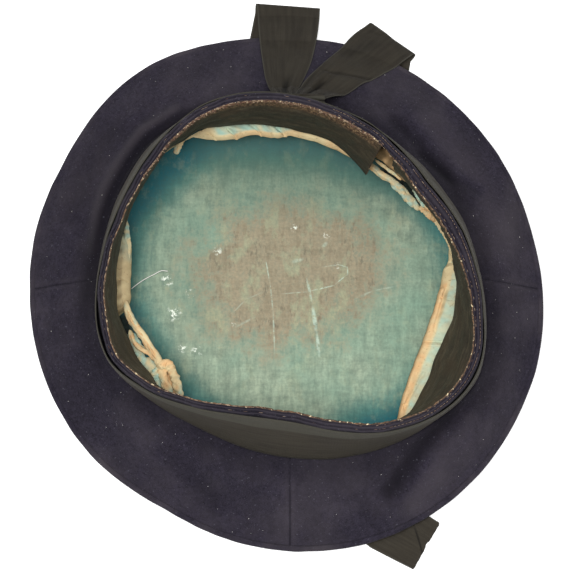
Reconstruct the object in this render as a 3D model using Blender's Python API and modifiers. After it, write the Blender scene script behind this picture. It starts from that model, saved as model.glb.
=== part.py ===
"""A navy wool sailor cap that lies upside down on its crown, with the head opening up.

Metres, +Z up. The origin is the middle of the crown's outer face, which lies on the surface. The front of the
cap is towards -Y, and the ribbon's tails leave the band at the back, towards +Y, and run under the crown.
Angles are in degrees about +Z, from +X towards +Y.
"""
import math

import bmesh
import bpy
from mathutils import Vector

CAP_NAME = "sailor_cap"

# Driving sizes: radii are the mean of their own outline, whose shares stand in AROUND
RIM_RADIUS = 0.140
FOOT_RADIUS = 0.100
EDGE_RADIUS = 0.094

# Walls and the gap that neighbours keep
CROWN_WALL = 0.0025
PANEL_WALL = 0.0020
BAND_WALL = 0.0030
SWEAT_WALL = 0.0015
LINING_WALL = 0.0010
RIBBON_WALL = 0.0010
GAP = 0.0003

# Rim seam: a rolled welt, with crown and side butted against it from below and above
WELT_RADIUS = 0.0026
WELT_HEIGHT = 0.0058
SEAM_ANGLE = 50.0

# Crown
CROWN_TURN = 0.017
LINING_INSET = 0.0135

# Side
FOOT_HEIGHT = 0.0300
PANEL_BULGE = 0.0015
SEAM_GAP = 0.0003
FOLD_DEPTH = 0.0040

# Band, sweatband and hem
BAND_HEIGHT = 0.0420
BAND_UPRIGHT = 0.0012
SWEAT_INSET = 0.0035
SWEAT_RISE = 0.0028
SWEAT_LEAN = 0.0100
SWEAT_START = 52.5
SWEAT_TURN = 352.5
FLAP_LEAN = 0.0060
FLAP_TURN = 20.0
HEM_CREST = 0.0012
HEM_CLEAR = 0.0025
HEM_DROP = 0.0065
HEM_REACH = 0.0100

# Ribbon
RIBBON_WIDTH = 0.0320
RIBBON_RISE = 0.0003
LOOSE = 0.0040
LAY = 0.0006
TAIL_TOP = 0.0077
KNOT_WIDTH = 0.0310
KNOT_HEIGHT = 0.0220
KNOT_DEPTH = 0.0045
KNOT_ROUND = 0.0014
KNOT_X = 0.0030
TAIL_CLEAR = 0.0115
GROOVE_MARGIN = 0.0010
LEFT_RUN = 0.255
RIGHT_RUN = 0.2465
RIGHT_END_RUN = 0.0763
RIGHT_END_WIDTH = 0.0290
RIGHT_END_TURN = 331.0

# How finely the shapes are divided, and where their rows lie as shares of the way
SPOKES = 48
PANEL_SHARES = (0.0, 0.2, 0.42, 0.65, 0.88)
THIRD_SHARES = (0.0, 1 / 3, 2 / 3, 1.0)
SHARP_ANGLE = 40.0
BEND_STEPS = 6
FRONT_STEPS = 13
ACROSS_STEPS = 4
WELT_SIDES = 8

# Outline of the cap at each angle, as shares: rim of RIM_RADIUS, foot of FOOT_RADIUS, edge of EDGE_RADIUS, sweat
# (how far the sweatband's lower edge stands in from the band) of SWEAT_LEAN, hem (how far the hem reaches in from
# its crest) of HEM_REACH, loose (how far the ribbon's upper edge stands off the band) of LOOSE
AROUND_COLUMNS = ("angle", "rim", "foot", "edge", "sweat", "hem", "loose")
AROUND = (
    (0, 0.980, 1.025, 1.010, 0.68, 0.65, 0.2),
    (15, 0.970, 0.980, 0.940, 0.31, 0.30, 0.1),
    (30, 0.980, 0.930, 0.893, 0.17, 0.50, 0.1),
    (45, 0.990, 0.935, 0.880, 0.50, 0.40, 0.1),
    (60, 1.005, 0.935, 0.894, 1.00, 0.30, 0.1),
    (75, 1.023, 0.920, 0.914, 0.70, 0.30, 0.1),
    (90, 1.030, 0.920, 0.956, 0.32, 0.25, 0.0),
    (105, 1.046, 0.955, 0.998, 0.10, 0.25, 0.1),
    (120, 1.070, 1.015, 1.010, 0.06, 0.20, 0.2),
    (135, 1.055, 1.050, 0.990, 0.08, 0.40, 0.4),
    (150, 1.026, 1.037, 0.978, 0.16, 0.50, 0.4),
    (165, 1.020, 1.022, 0.991, 0.20, 0.40, 0.3),
    (180, 1.010, 1.032, 1.032, 0.42, 0.60, 0.3),
    (195, 1.008, 1.068, 1.087, 0.72, 0.50, 0.5),
    (210, 1.006, 1.050, 1.122, 0.72, 0.90, 0.7),
    (225, 1.000, 0.990, 1.058, 0.12, 0.65, 0.3),
    (240, 0.985, 0.953, 0.954, 0.08, 0.60, 0.1),
    (255, 1.004, 0.958, 0.891, 0.48, 0.60, 0.1),
    (270, 1.023, 0.983, 0.888, 0.62, 0.60, 0.1),
    (285, 1.035, 1.016, 0.981, 0.49, 0.70, 0.1),
    (300, 1.034, 1.055, 1.102, 0.21, 0.60, 0.2),
    (315, 1.025, 1.096, 1.196, 0.86, 1.05, 0.4),
    (330, 1.008, 1.139, 1.200, 1.90, 1.10, 0.6),
    (345, 0.996, 1.086, 1.102, 1.30, 1.05, 0.4),
)

# Soft folds of the side, each a line in plan: ends and width as shares of RIM_RADIUS, depth of FOLD_DEPTH
FOLD_COLUMNS = ("x0", "y0", "x1", "y1", "width", "depth")
FOLDS = (
    (-0.50, 0.70, -0.79, 0.20, 0.070, -0.6),
    (-0.79, 0.20, -0.83, -0.12, 0.060, -0.3),
    (-0.55, 0.86, -0.90, 0.35, 0.070, 0.4),
    (0.58, 0.62, 0.73, 0.43, 0.060, -0.9),
    (0.73, 0.43, 0.70, 0.10, 0.050, -0.6),
    (0.42, -0.68, 0.60, -0.78, 0.060, -0.7),
    (0.52, -0.58, 0.74, -0.64, 0.050, 0.4),
    (-0.42, -0.72, -0.24, -0.88, 0.060, -0.4),
    (-0.60, -0.62, -0.42, -0.84, 0.060, 0.3),
    (0.02, -0.72, 0.02, -0.82, 0.040, -0.6),
)

# The ribbon's two ends: places at the knot and clear of it as shares of RIBBON_WIDTH, overhang past the rim as a
# share of TAIL_TOP, width at the fold as a share of RIBBON_WIDTH; turns are headings in plan
TAIL_COLUMNS = ("start", "clear", "fold_angle", "overhang", "fold_turn", "run_turn", "width")
LEFT_TAIL = dict(zip(TAIL_COLUMNS, (-0.14, -0.18, 90.5, 2.27, -4.0, 259.0, 1.08)))
RIGHT_TAIL = dict(zip(TAIL_COLUMNS, (0.37, 0.47, 68.2, 1.45, -36.0, 258.5, 0.94)))

# The hem's section between its root, crest and end: shares of the way in and of the way up or down
HEM_RISE = (0.6, 0.8)
HEM_FALL = (0.7, 0.5)

# Shares of a tail's front by which it has turned towards its fold, and of the way to clear of the knot by which it
# has come down to the side
TURNED_BY = 0.6
DOWN_BY = 1.4

# Width of a tail from the knot (0) to the fold (1), as a share of its width there
FLARE_SHARES = ((0.0, 0.42), (0.2, 0.52), (0.5, 0.75), (0.8, 0.93), (1.0, 1.0))


def column(name, index):
    return AROUND[index % len(AROUND)][AROUND_COLUMNS.index(name)]


def around(name, degrees):
    """A share from AROUND at any angle, on a smooth closed curve through the rows."""
    place = (degrees % 360.0) / 360.0 * len(AROUND)
    index = int(math.floor(place))
    t = place - index
    a, b, c, d = (column(name, index + k) for k in (-1, 0, 1, 2))
    return b + 0.5 * t * (c - a + t * (2 * a - 5 * b + 4 * c - d + t * (3 * (b - c) + d - a)))


def smooth(t):
    t = min(1.0, max(0.0, t))
    return t * t * (3.0 - 2.0 * t)


def mix(a, b, t):
    return a + (b - a) * t


def direction(degrees):
    return Vector((math.cos(math.radians(degrees)), math.sin(math.radians(degrees))))


def read_table(rows, at):
    """A value between two rows of a table of (place, value)."""
    for (a, low), (b, high) in zip(rows, rows[1:]):
        if at <= b:
            return mix(low, high, (at - a) / (b - a))
    return rows[-1][1]


def rim(degrees):
    return RIM_RADIUS * around("rim", degrees)


def edge(degrees):
    return EDGE_RADIUS * around("edge", degrees)


def band_foot(degrees):
    """Outer radius of the band where it stands on the side."""
    return FOOT_RADIUS * around("foot", degrees) - RIBBON_WALL - GAP


def offset_profile(points, distance):
    """A profile of (radius, height) moved sideways, to its right as it runs when distance is positive."""
    moved = []
    for i, (r, z) in enumerate(points):
        before = points[max(0, i - 1)]
        after = points[min(len(points) - 1, i + 1)]
        first = Vector((r - before[0], z - before[1]))
        last = Vector((after[0] - r, after[1] - z))
        if first.length == 0.0:
            first = last
        if last.length == 0.0:
            last = first
        first.normalize()
        last.normalize()
        along = (first + last).normalized()
        reach = distance / max(0.5, along.dot(first))
        moved.append((r + along.y * reach, z - along.x * reach))
    return moved


def fold_height(x, y):
    """How far the folds lift or sink the side at a place in plan."""
    height = 0.0
    for row in FOLDS:
        fold = dict(zip(FOLD_COLUMNS, row))
        start = Vector((fold["x0"], fold["y0"])) * RIM_RADIUS
        line = Vector((fold["x1"], fold["y1"])) * RIM_RADIUS - start
        along = (Vector((x, y)) - start).dot(line) / line.length_squared
        near = start + line * min(1.0, max(0.0, along))
        away = (Vector((x, y)) - near).length / (fold["width"] * RIM_RADIUS)
        height += fold["depth"] * FOLD_DEPTH * math.exp(-away * away)
    return height


def panel_ends(degrees):
    """Radii of the side's outer and inner ends of slope."""
    seam = math.radians(SEAM_ANGLE)
    outer = rim(degrees) - WELT_RADIUS - (WELT_RADIUS + GAP) * math.cos(seam)
    return outer, FOOT_RADIUS * around("foot", degrees)


def panel_point(degrees, share):
    """The side's upper face, from the rim seam (0) to the band's foot (1)."""
    seam = math.radians(SEAM_ANGLE)
    outer, inner = panel_ends(degrees)
    low = WELT_HEIGHT + (WELT_RADIUS + GAP) * math.sin(seam)
    r = mix(outer, inner, share)
    z = mix(low, FOOT_HEIGHT - GAP, share)
    swell = math.sin(math.pi * share)
    place = direction(degrees) * r
    return r, z + swell * (PANEL_BULGE + fold_height(place.x, place.y))


def panel_profile(degrees):
    """The side's upper face and the flat seat under the band."""
    points = [panel_point(degrees, share) for share in (*PANEL_SHARES, 1.0)]
    return points + [(band_foot(degrees) - BAND_WALL, FOOT_HEIGHT - GAP)]


def crown_profile(degrees):
    """The crown's outer face from its flat middle up to the rim seam."""
    seam = math.radians(SEAM_ANGLE)
    end = rim(degrees) - WELT_RADIUS - (WELT_RADIUS + GAP) * math.cos(seam)
    top = WELT_HEIGHT - (WELT_RADIUS + GAP) * math.sin(seam)
    start = rim(degrees) - CROWN_TURN
    return [(mix(start, end, t), top * t * t) for t in THIRD_SHARES]


def band_profile(degrees, heights=None):
    """The band's outer face: a short upright on the side, and from there a straight lean to the free edge."""
    foot = band_foot(degrees)
    lean = edge(degrees) - foot
    slope = BAND_HEIGHT - BAND_UPRIGHT
    if heights is None:
        heights = [0.0] + [BAND_UPRIGHT + slope * t for t in THIRD_SHARES]
    return [(foot + lean * max(0.0, h - BAND_UPRIGHT) / slope, FOOT_HEIGHT + h) for h in heights]


def rows_through(profiles, angles):
    """Rows of points round the cap, one for each point of a profile."""
    rows = []
    for i in range(len(profiles[0])):
        row = []
        for degrees, profile in zip(angles, profiles):
            place = direction(degrees) * profile[i][0]
            row.append(Vector((place.x, place.y, profile[i][1])))
        rows.append(row)
    return rows


def ring_rows(profile_at, angles):
    return rows_through([profile_at(degrees) for degrees in angles], angles)


def whole_turn():
    return [360.0 * i / SPOKES for i in range(SPOKES)]


def material(name, colour, roughness):
    made = bpy.data.materials.new(name)
    made.use_nodes = True
    shader = made.node_tree.nodes["Principled BSDF"]
    shader.inputs["Base Color"].default_value = (*colour, 1.0)
    shader.inputs["Roughness"].default_value = roughness
    made.diffuse_color = (*colour, 1.0)
    return made


def link(name, mesh, collection, finish):
    made = bpy.data.objects.new(name, mesh)
    collection.objects.link(made)
    if finish:
        mesh.materials.append(finish)
    mesh.shade_smooth()
    mesh.set_sharp_from_angle(angle=math.radians(SHARP_ANGLE))
    return made


def loft(name, rows, closed, collection, finish, cap=False):
    """An open surface through rows of points, with a flat cap over the first row where asked."""
    shape = bmesh.new()
    grid = [[shape.verts.new(point) for point in row] for row in rows]
    count = len(rows[0])
    for low, high in zip(grid, grid[1:]):
        for i in range(count if closed else count - 1):
            j = (i + 1) % count
            shape.faces.new((low[i], low[j], high[j], high[i]))
    if cap:
        shape.faces.new(list(reversed(grid[0])))
    mesh = bpy.data.meshes.new(name)
    shape.to_mesh(mesh)
    shape.free()
    return link(name, mesh, collection, finish)


def thicken(made, wall, offset=-1.0):
    """Gives an open surface its wall; an offset of -1 puts it behind the faces, 0 on both sides."""
    solid = made.modifiers.new("wall", "SOLIDIFY")
    solid.thickness = wall
    solid.offset = offset
    solid.use_even_offset = True
    return made


def prism(name, outline, low, high, collection, finish=None):
    """A flat outline drawn up between two heights."""
    shape = bmesh.new()
    face = shape.faces.new([shape.verts.new((p.x, p.y, low)) for p in outline])
    lifted = bmesh.ops.extrude_face_region(shape, geom=[face])["geom"]
    bmesh.ops.translate(shape, vec=(0, 0, high - low), verts=[v for v in lifted if isinstance(v, bmesh.types.BMVert)])
    bmesh.ops.recalc_face_normals(shape, faces=shape.faces)
    mesh = bpy.data.meshes.new(name)
    shape.to_mesh(mesh)
    shape.free()
    return link(name, mesh, collection, finish)


def as_cutter(made):
    made.hide_render = True
    made.display_type = "WIRE"
    return made


def boolean(made, other, operation):
    cut = made.modifiers.new(other.name, "BOOLEAN")
    cut.operation = operation
    cut.solver = "EXACT"
    cut.object = other


def make_crown(collection, finish):
    made = loft("crown_disc", ring_rows(crown_profile, whole_turn()), True, collection, finish, cap=True)
    return thicken(made, CROWN_WALL)


def make_welt(collection, finish):
    """The rolled seam round the rim, a closed tube."""
    curve = bpy.data.curves.new("rim_welt", "CURVE")
    curve.dimensions = "3D"
    curve.bevel_depth = WELT_RADIUS
    curve.bevel_resolution = WELT_SIDES // 2 - 2
    line = curve.splines.new("POLY")
    angles = whole_turn()
    line.points.add(len(angles) - 1)
    for point, degrees in zip(line.points, angles):
        place = direction(degrees) * (rim(degrees) - WELT_RADIUS)
        point.co = (place.x, place.y, WELT_HEIGHT, 1.0)
    line.use_cyclic_u = True
    made = bpy.data.objects.new("rim_welt", curve)
    collection.objects.link(made)
    curve.materials.append(finish)
    return made


def make_panels(collection, finish):
    """The four quarters of the side, a seam's gap apart."""
    quarters = ("back_right", "back_left", "front_left", "front_right")
    step = 360.0 / SPOKES
    for quarter, name in enumerate(quarters):
        first = 90.0 * quarter
        half_gap = math.degrees(0.5 * SEAM_GAP / FOOT_RADIUS)
        inner = [first + step * i for i in range(1, SPOKES // 4)]
        angles = [first + half_gap] + inner + [first + 90.0 - half_gap]
        made = loft("side_panel_" + name, ring_rows(panel_profile, angles), False, collection, finish)
        thicken(made, PANEL_WALL)


def make_band(collection, finish):
    thicken(loft("head_band", ring_rows(band_profile, whole_turn()), True, collection, finish), BAND_WALL)


def band_inside(degrees, height):
    """The radius of the band's inner face at a height."""
    low, high = offset_profile(band_profile(degrees), -BAND_WALL)[1::3]
    return mix(low[0], high[0], (height - low[1]) / (high[1] - low[1]))


def sweat_profile(degrees, flap=0.0):
    """The sweatband's face towards the band, from its loose lower edge up to the seam."""
    low = FOOT_HEIGHT + SWEAT_RISE
    high = FOOT_HEIGHT + BAND_HEIGHT - SWEAT_INSET
    bottom = band_inside(degrees, low) - 2 * GAP - SWEAT_LEAN * around("sweat", degrees) - flap
    top = band_inside(degrees, high) - 2 * GAP
    return [(mix(bottom, top, t), mix(low, high, t)) for t in THIRD_SHARES]


def strip_profile(turned):
    """The sweatband's profile that far round from its first end, which curls in as a flap."""
    return sweat_profile(SWEAT_START + turned, FLAP_LEAN * smooth(1.0 - turned / FLAP_TURN))


def make_sweatband(collection, finish):
    """An open strip: its first end stands inwards at the foot, and a gap shows behind it."""
    steps = SPOKES - 1
    turns = [SWEAT_TURN * i / steps for i in range(steps + 1)]
    angles = [SWEAT_START + turned for turned in turns]
    rows = rows_through([strip_profile(turned) for turned in turns], angles)
    thicken(loft("sweatband", rows, False, collection, finish), SWEAT_WALL)


def crown_lining_profile(degrees):
    """Over the crown's inner face, ending short of the rim."""
    end = rim(degrees) - LINING_INSET
    inner = offset_profile(crown_profile(degrees), -(CROWN_WALL + GAP))
    start_r, start_z = inner[0]
    return [(start_r, start_z), (mix(start_r, end, 0.5), start_z + GAP), (end, start_z + 2 * GAP)]


def side_lining_profile(degrees):
    """Under the side, from a row in from the rim to the band's foot."""
    return offset_profile(panel_profile(degrees), -(PANEL_WALL + GAP))[1:]


def hem_profile(degrees):
    """The lining's loose edge: up under the sweatband, over its crest, and down and in to its own edge."""
    root_r, root_z = side_lining_profile(degrees)[-1]
    root = root_r - GAP
    crest = sweat_profile(degrees)[0][0] - HEM_CLEAR
    crest_z = FOOT_HEIGHT + HEM_CREST
    end = crest - HEM_REACH * around("hem", degrees)
    end_z = crest_z - HEM_DROP
    return [
        (root, root_z),
        (mix(root, crest, HEM_RISE[0]), mix(root_z, crest_z, HEM_RISE[1])),
        (crest, crest_z),
        (mix(crest, end, HEM_FALL[0]), mix(crest_z, end_z, HEM_FALL[1])),
        (end, end_z),
    ]


def make_lining(collection, cotton, hem):
    angles = whole_turn()
    crown = loft("lining_crown", ring_rows(crown_lining_profile, angles), True, collection, cotton, cap=True)
    thicken(crown, LINING_WALL)
    thicken(loft("lining_side", ring_rows(side_lining_profile, angles), True, collection, cotton), LINING_WALL)
    thicken(loft("lining_hem", ring_rows(hem_profile, angles), True, collection, hem), LINING_WALL)


def wrap_profile(degrees):
    """The ribbon's outer face round the band, looser at its upper edge."""
    shares = (0.0, 0.5, 1.0)
    heights = [BAND_UPRIGHT + RIBBON_RISE + RIBBON_WIDTH * t for t in shares]
    outer = offset_profile(band_profile(degrees, heights), GAP + RIBBON_WALL)
    loose = LOOSE * around("loose", degrees)
    return [(r + loose * t * t, z) for (r, z), t in zip(outer, shares)]


def make_wrap(collection, finish):
    thicken(loft("tally_wrap", ring_rows(wrap_profile, whole_turn()), True, collection, finish), RIBBON_WALL)


def knot_face():
    """Where the knot's inner face stands at the back: clear of the ribbon over the knot's whole width."""
    reach = 0.0
    for degrees in whole_turn():
        for r, _ in wrap_profile(degrees):
            place = direction(degrees) * r
            if place.y > 0.0 and abs(place.x - KNOT_X) < KNOT_WIDTH:
                reach = max(reach, place.y)
    return reach + GAP


def knot_bottom():
    return FOOT_HEIGHT + BAND_UPRIGHT + RIBBON_RISE + (RIBBON_WIDTH - KNOT_HEIGHT) / 2


def make_knot(collection, finish):
    bpy.ops.mesh.primitive_cube_add(size=1.0)
    made = bpy.context.object
    made.name = "tally_knot"
    made.data.name = "tally_knot"
    middle = Vector((KNOT_X, knot_face() + KNOT_DEPTH / 2, knot_bottom() + KNOT_HEIGHT / 2))
    for vertex in made.data.vertices:
        vertex.co = Vector((vertex.co.x * KNOT_WIDTH, vertex.co.y * KNOT_DEPTH, vertex.co.z * KNOT_HEIGHT))
    made.location = middle
    rounding = made.modifiers.new("rounding", "BEVEL")
    rounding.width = KNOT_ROUND
    rounding.segments = 2
    for owner in list(made.users_collection):
        owner.objects.unlink(made)
    collection.objects.link(made)
    made.data.materials.append(finish)


def fold_parts(tail):
    """A tail's fold past the rim: outermost place, way along the fold, way out, bend radius."""
    overhang = tail["overhang"] * TAIL_TOP
    place = direction(tail["fold_angle"]) * (rim(tail["fold_angle"]) + overhang)
    across = direction(tail["fold_turn"])
    out = Vector((-across.y, across.x))
    radius = (TAIL_TOP - RIBBON_WALL / 2) / 2
    return place, across, out, radius


def drape_height(place):
    """The height of a ribbon that lies on the side, or on past the rim."""
    degrees = math.degrees(math.atan2(place.y, place.x))
    outer, inner = panel_ends(degrees)
    share = (outer - place.length) / (outer - inner)
    z = panel_point(degrees, min(1.0, max(0.0, share)))[1]
    return z + GAP + LAY + RIBBON_WALL / 2


def tail_path(tail):
    """The plan of a tail from the knot to the start of its fold, through the place clear of the knot."""
    place, across, out, radius = fold_parts(tail)
    start = Vector((tail["start"] * RIBBON_WIDTH, knot_face() + KNOT_DEPTH / 2))
    clear = Vector((tail["clear"] * RIBBON_WIDTH, knot_face() + TAIL_CLEAR))
    return start, clear, place - out * radius


def front_rows(tail):
    """Rows across a tail's upper layer, from the knot over the side to the fold."""
    start, clear, end = tail_path(tail)
    fold_across = direction(tail["fold_turn"])
    top = knot_bottom() - GAP - RIBBON_WALL / 2
    early = (clear - start).length / ((clear - start).length + (end - clear).length)
    half = tail["width"] * RIBBON_WIDTH / 2
    ends = [end + fold_across * half * side for side in (-1.0, 1.0)]
    rows = []
    for i in range(FRONT_STEPS + 1):
        u = i / FRONT_STEPS
        if u < early:
            middle = start.lerp(clear, u / early)
        else:
            middle = clear.lerp(end, (u - early) / (1.0 - early))
        across = Vector((1.0, 0.0)).lerp(fold_across, smooth(u / TURNED_BY)).normalized()
        row = []
        for k in range(ACROSS_STEPS + 1):
            side = 2.0 * k / ACROSS_STEPS - 1.0
            place = middle + across * half * read_table(FLARE_SHARES, u) * side
            degrees = math.degrees(math.atan2(place.y, place.x))
            fold_place = ends[0].lerp(ends[1], k / ACROSS_STEPS)
            past = (place.length - rim(degrees)) / max(GAP, fold_place.length - rim(degrees))
            z = mix(drape_height(place), TAIL_TOP, smooth(past) if u < 1.0 else 1.0)
            z = mix(top, z, smooth(u / (DOWN_BY * early)))
            row.append(Vector((place.x, place.y, z)))
        rows.append(row)
    return rows


def bend_rows(tail):
    """Rows round the fold, from the upper layer to the lower."""
    place, across, out, radius = fold_parts(tail)
    centre = place - out * radius
    half = tail["width"] * RIBBON_WIDTH / 2
    rows = []
    for i in range(1, BEND_STEPS + 1):
        turn = math.pi * (0.5 - i / BEND_STEPS)
        middle = centre + out * radius * math.cos(turn)
        z = RIBBON_WALL / 2 + radius * (1.0 + math.sin(turn))
        row = []
        for k in range(ACROSS_STEPS + 1):
            point = middle + across * half * (2.0 * k / ACROSS_STEPS - 1.0)
            row.append(Vector((point.x, point.y, z)))
        rows.append(row)
    return rows


def grown(outline, margin):
    """A four-sided outline with each side moved out."""
    middle = sum(outline, Vector((0.0, 0.0))) / len(outline)
    moved = []
    for i, corner in enumerate(outline):
        before = (corner - outline[i - 1]).normalized()
        after = (outline[(i + 1) % len(outline)] - corner).normalized()
        bend = before.cross(after)
        point = corner + (before - after) * margin / abs(bend)
        moved.append(point if (point - middle).length > (corner - middle).length else corner)
    return moved


def run_outline(tail, length, crease=None):
    """The four corners of a tail's flat run under the crown: two at the fold, two at its end."""
    place, across, out, radius = fold_parts(tail)
    centre = place - out * radius
    heading = direction(tail["run_turn"])
    half = tail["width"] * RIBBON_WIDTH / 2
    end = centre + heading * length
    last = across * half
    if crease is not None:
        spread = half * abs(across.cross(heading))
        last = crease * spread / abs(crease.cross(heading))
        if last.dot(across) < 0.0:
            last = -last
    return [centre - across * half, centre + across * half, end + last, end - last]


def run_rows(outline):
    """Rows of the flat run, from the fold's corners to the end's."""
    first, second, third, fourth = outline
    rows = []
    for i in range(1, 5):
        u = i / 4
        left = first.lerp(fourth, u)
        right = second.lerp(third, u)
        row = []
        for k in range(ACROSS_STEPS + 1):
            point = left.lerp(right, k / ACROSS_STEPS)
            row.append(Vector((point.x, point.y, RIBBON_WALL / 2)))
        rows.append(row)
    return rows


def crease_way():
    """The way of the flat crease where the right tail turns under the crown."""
    return (direction(RIGHT_TAIL["run_turn"]) + direction(RIGHT_END_TURN)).normalized()


def end_outline():
    """The right tail's last stretch, from its crease out past the rim to the cut end."""
    outline = run_outline(RIGHT_TAIL, RIGHT_RUN, crease_way())
    heading = direction(RIGHT_END_TURN)
    left = Vector((-heading.y, heading.x))
    middle = (outline[2] + outline[3]) / 2
    end = middle + heading * RIGHT_END_RUN
    half = RIGHT_END_WIDTH / 2
    low, high = sorted((outline[2], outline[3]), key=lambda p: (p - middle).dot(left))
    return [low, end - left * half, end + left * half, high]


def make_tails(collection, cutters, finish, crown):
    """Both tails, and the hollows that they press into the crown's underside."""
    crease = crease_way()
    left_rows = front_rows(LEFT_TAIL) + bend_rows(LEFT_TAIL) + run_rows(run_outline(LEFT_TAIL, LEFT_RUN))
    thicken(loft("tail_left", left_rows, False, collection, finish), RIBBON_WALL, 0.0)
    outline = run_outline(RIGHT_TAIL, RIGHT_RUN, crease)
    right_rows = front_rows(RIGHT_TAIL) + bend_rows(RIGHT_TAIL) + run_rows(outline)
    right = thicken(loft("tail_right", right_rows, False, collection, finish), RIBBON_WALL, 0.0)
    end = as_cutter(prism("tail_right_end", end_outline(), 0.0, RIBBON_WALL, cutters))
    boolean(right, end, "UNION")
    grooves = {
        "groove_left": run_outline(LEFT_TAIL, LEFT_RUN),
        "groove_right": outline,
        "groove_right_end": end_outline(),
    }
    for name, corners in grooves.items():
        cutter = prism(name, grown(corners, GROOVE_MARGIN), -RIBBON_WALL, RIBBON_WALL + GAP, cutters)
        boolean(crown, as_cutter(cutter), "DIFFERENCE")


def main():
    for made in list(bpy.data.objects):
        bpy.data.objects.remove(made, do_unlink=True)
    cap = bpy.data.collections.new(CAP_NAME)
    cutters = bpy.data.collections.new(CAP_NAME + "_cutters")
    bpy.context.scene.collection.children.link(cap)
    bpy.context.scene.collection.children.link(cutters)
    wool = material("navy_wool", (0.020, 0.018, 0.035), 0.9)
    ribbon = material("ribbon", (0.035, 0.036, 0.032), 0.75)
    oilcloth = material("oilcloth", (0.045, 0.038, 0.028), 0.6)
    cotton = material("teal_cotton", (0.25, 0.42, 0.40), 0.85)
    hem = material("cream_hem", (0.62, 0.50, 0.34), 0.9)
    crown = make_crown(cap, wool)
    make_welt(cap, wool)
    make_panels(cap, wool)
    make_band(cap, wool)
    make_sweatband(cap, oilcloth)
    make_lining(cap, cotton, hem)
    make_wrap(cap, ribbon)
    make_knot(cap, ribbon)
    make_tails(cap, cutters, ribbon, crown)


main()
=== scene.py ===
"""Dresses a navy wool sailor cap that lies upside down on its crown in cloth, ribbon, lining and stitches.

Metres, +Z up. The origin is the middle of the crown's outer face, the front of the cap is towards -Y, and
angles are in degrees about +Z, from +X towards +Y.
"""

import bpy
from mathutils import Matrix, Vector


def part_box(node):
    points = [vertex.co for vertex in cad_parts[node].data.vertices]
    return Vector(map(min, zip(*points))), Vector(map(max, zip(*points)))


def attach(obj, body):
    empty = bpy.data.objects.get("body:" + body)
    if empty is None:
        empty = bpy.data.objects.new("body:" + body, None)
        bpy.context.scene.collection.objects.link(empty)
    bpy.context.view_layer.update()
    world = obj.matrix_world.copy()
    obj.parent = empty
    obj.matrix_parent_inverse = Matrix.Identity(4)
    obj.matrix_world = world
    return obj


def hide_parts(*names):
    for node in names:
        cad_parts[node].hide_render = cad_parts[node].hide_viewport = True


bl_info = {
    "name": "Sailor cap",
    "version": (1, 0, 0),
    "blender": (4, 5, 0),
    "location": "View3D > Sidebar > Sailor Cap",
    "description": "Builds a navy wool sailor cap lying on its crown: cloth, ribbon, lining and stitches",
    "category": "Object",
}

import math

import bmesh
import bpy
import numpy as np
from bpy.props import BoolProperty, FloatProperty, FloatVectorProperty, IntProperty, PointerProperty
from mathutils import Matrix, Vector
from mathutils.bvhtree import BVHTree

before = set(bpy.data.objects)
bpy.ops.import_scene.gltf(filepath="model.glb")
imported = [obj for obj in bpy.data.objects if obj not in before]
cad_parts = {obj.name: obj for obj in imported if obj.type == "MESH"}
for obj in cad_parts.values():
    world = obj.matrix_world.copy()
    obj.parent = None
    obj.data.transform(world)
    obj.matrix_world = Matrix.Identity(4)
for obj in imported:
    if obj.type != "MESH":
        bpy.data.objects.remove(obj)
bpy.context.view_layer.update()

MM = 0.001
SPOKES = 48
PANELS = ("side_panel_back_right", "side_panel_back_left", "side_panel_front_left", "side_panel_front_right")


def srgb(red, green, blue):
    """A colour on a screen's 0 to 255 scale as Blender's linear one."""
    shares = (value / 255.0 for value in (red, green, blue))
    return tuple(s / 12.92 if s <= 0.04045 else ((s + 0.055) / 1.055) ** 2.4 for s in shares)


def smooth(t):
    t = np.clip(t, 0.0, 1.0)
    return t * t * (3.0 - 2.0 * t)


def mix(a, b, t):
    return a + (b - a) * t


def in_plan(degrees, radius):
    """Places in plan from angles and radii."""
    turn = np.radians(degrees)
    return radius * np.cos(turn), radius * np.sin(turn)


def spline(a, b, c, d, t):
    return b + 0.5 * t * (c - a + t * (2 * a - 5 * b + 4 * c - d + t * (3 * (b - c) + d - a)))


class Ring:
    """A length that changes round the cap, on a smooth closed curve through evenly spaced values."""

    def __init__(self, values):
        self.values = np.array(values, float)

    def __call__(self, degrees):
        count = len(self.values)
        place = np.mod(np.asarray(degrees, float), 360.0) / 360.0 * count
        index = np.floor(place).astype(int)
        near = (self.values[(index + k) % count] for k in (-1, 0, 1, 2))
        return spline(*near, place - index)


def ring_through(rows):
    """A Ring through rows of (angle, value) at any angles, read at every second degree."""
    rows = sorted(rows)
    angles = [row[0] for row in rows]
    values = [row[1] for row in rows]
    angles = [angles[-1] - 360.0] + angles + [angles[0] + 360.0]
    values = [values[-1]] + values + [values[0]]
    return Ring(np.interp(np.arange(0, 360, 2), angles, values))


def waves(x, y, size, seed, count=8):
    """A smooth, even disturbance between about -1 and 1 over a plane, with waves of about that size."""
    chosen = np.random.RandomState(seed)
    total = np.zeros_like(x, dtype=float)
    for _ in range(count):
        turn, phase = chosen.uniform(0.0, 2.0 * np.pi, 2)
        step = 2.0 * np.pi / (size * chosen.uniform(0.7, 1.6))
        total += np.sin((x * np.cos(turn) + y * np.sin(turn)) * step + phase)
    return total / math.sqrt(count)


# What the frame gives: outlines and heights at each of its spokes

def cad_points(*names):
    return np.array([vertex.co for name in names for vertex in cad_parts[name].data.vertices])


def ring_of(points, pick):
    """One value for each spoke, picked from the radii and heights of the frame's points that lie on it."""
    turn = np.degrees(np.arctan2(points[:, 1], points[:, 0])) % 360.0
    spoke = np.rint(turn / 360.0 * SPOKES).astype(int) % SPOKES
    radius = np.hypot(points[:, 0], points[:, 1])
    return Ring([pick(radius[spoke == i], points[spoke == i, 2]) for i in range(SPOKES)])


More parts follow.
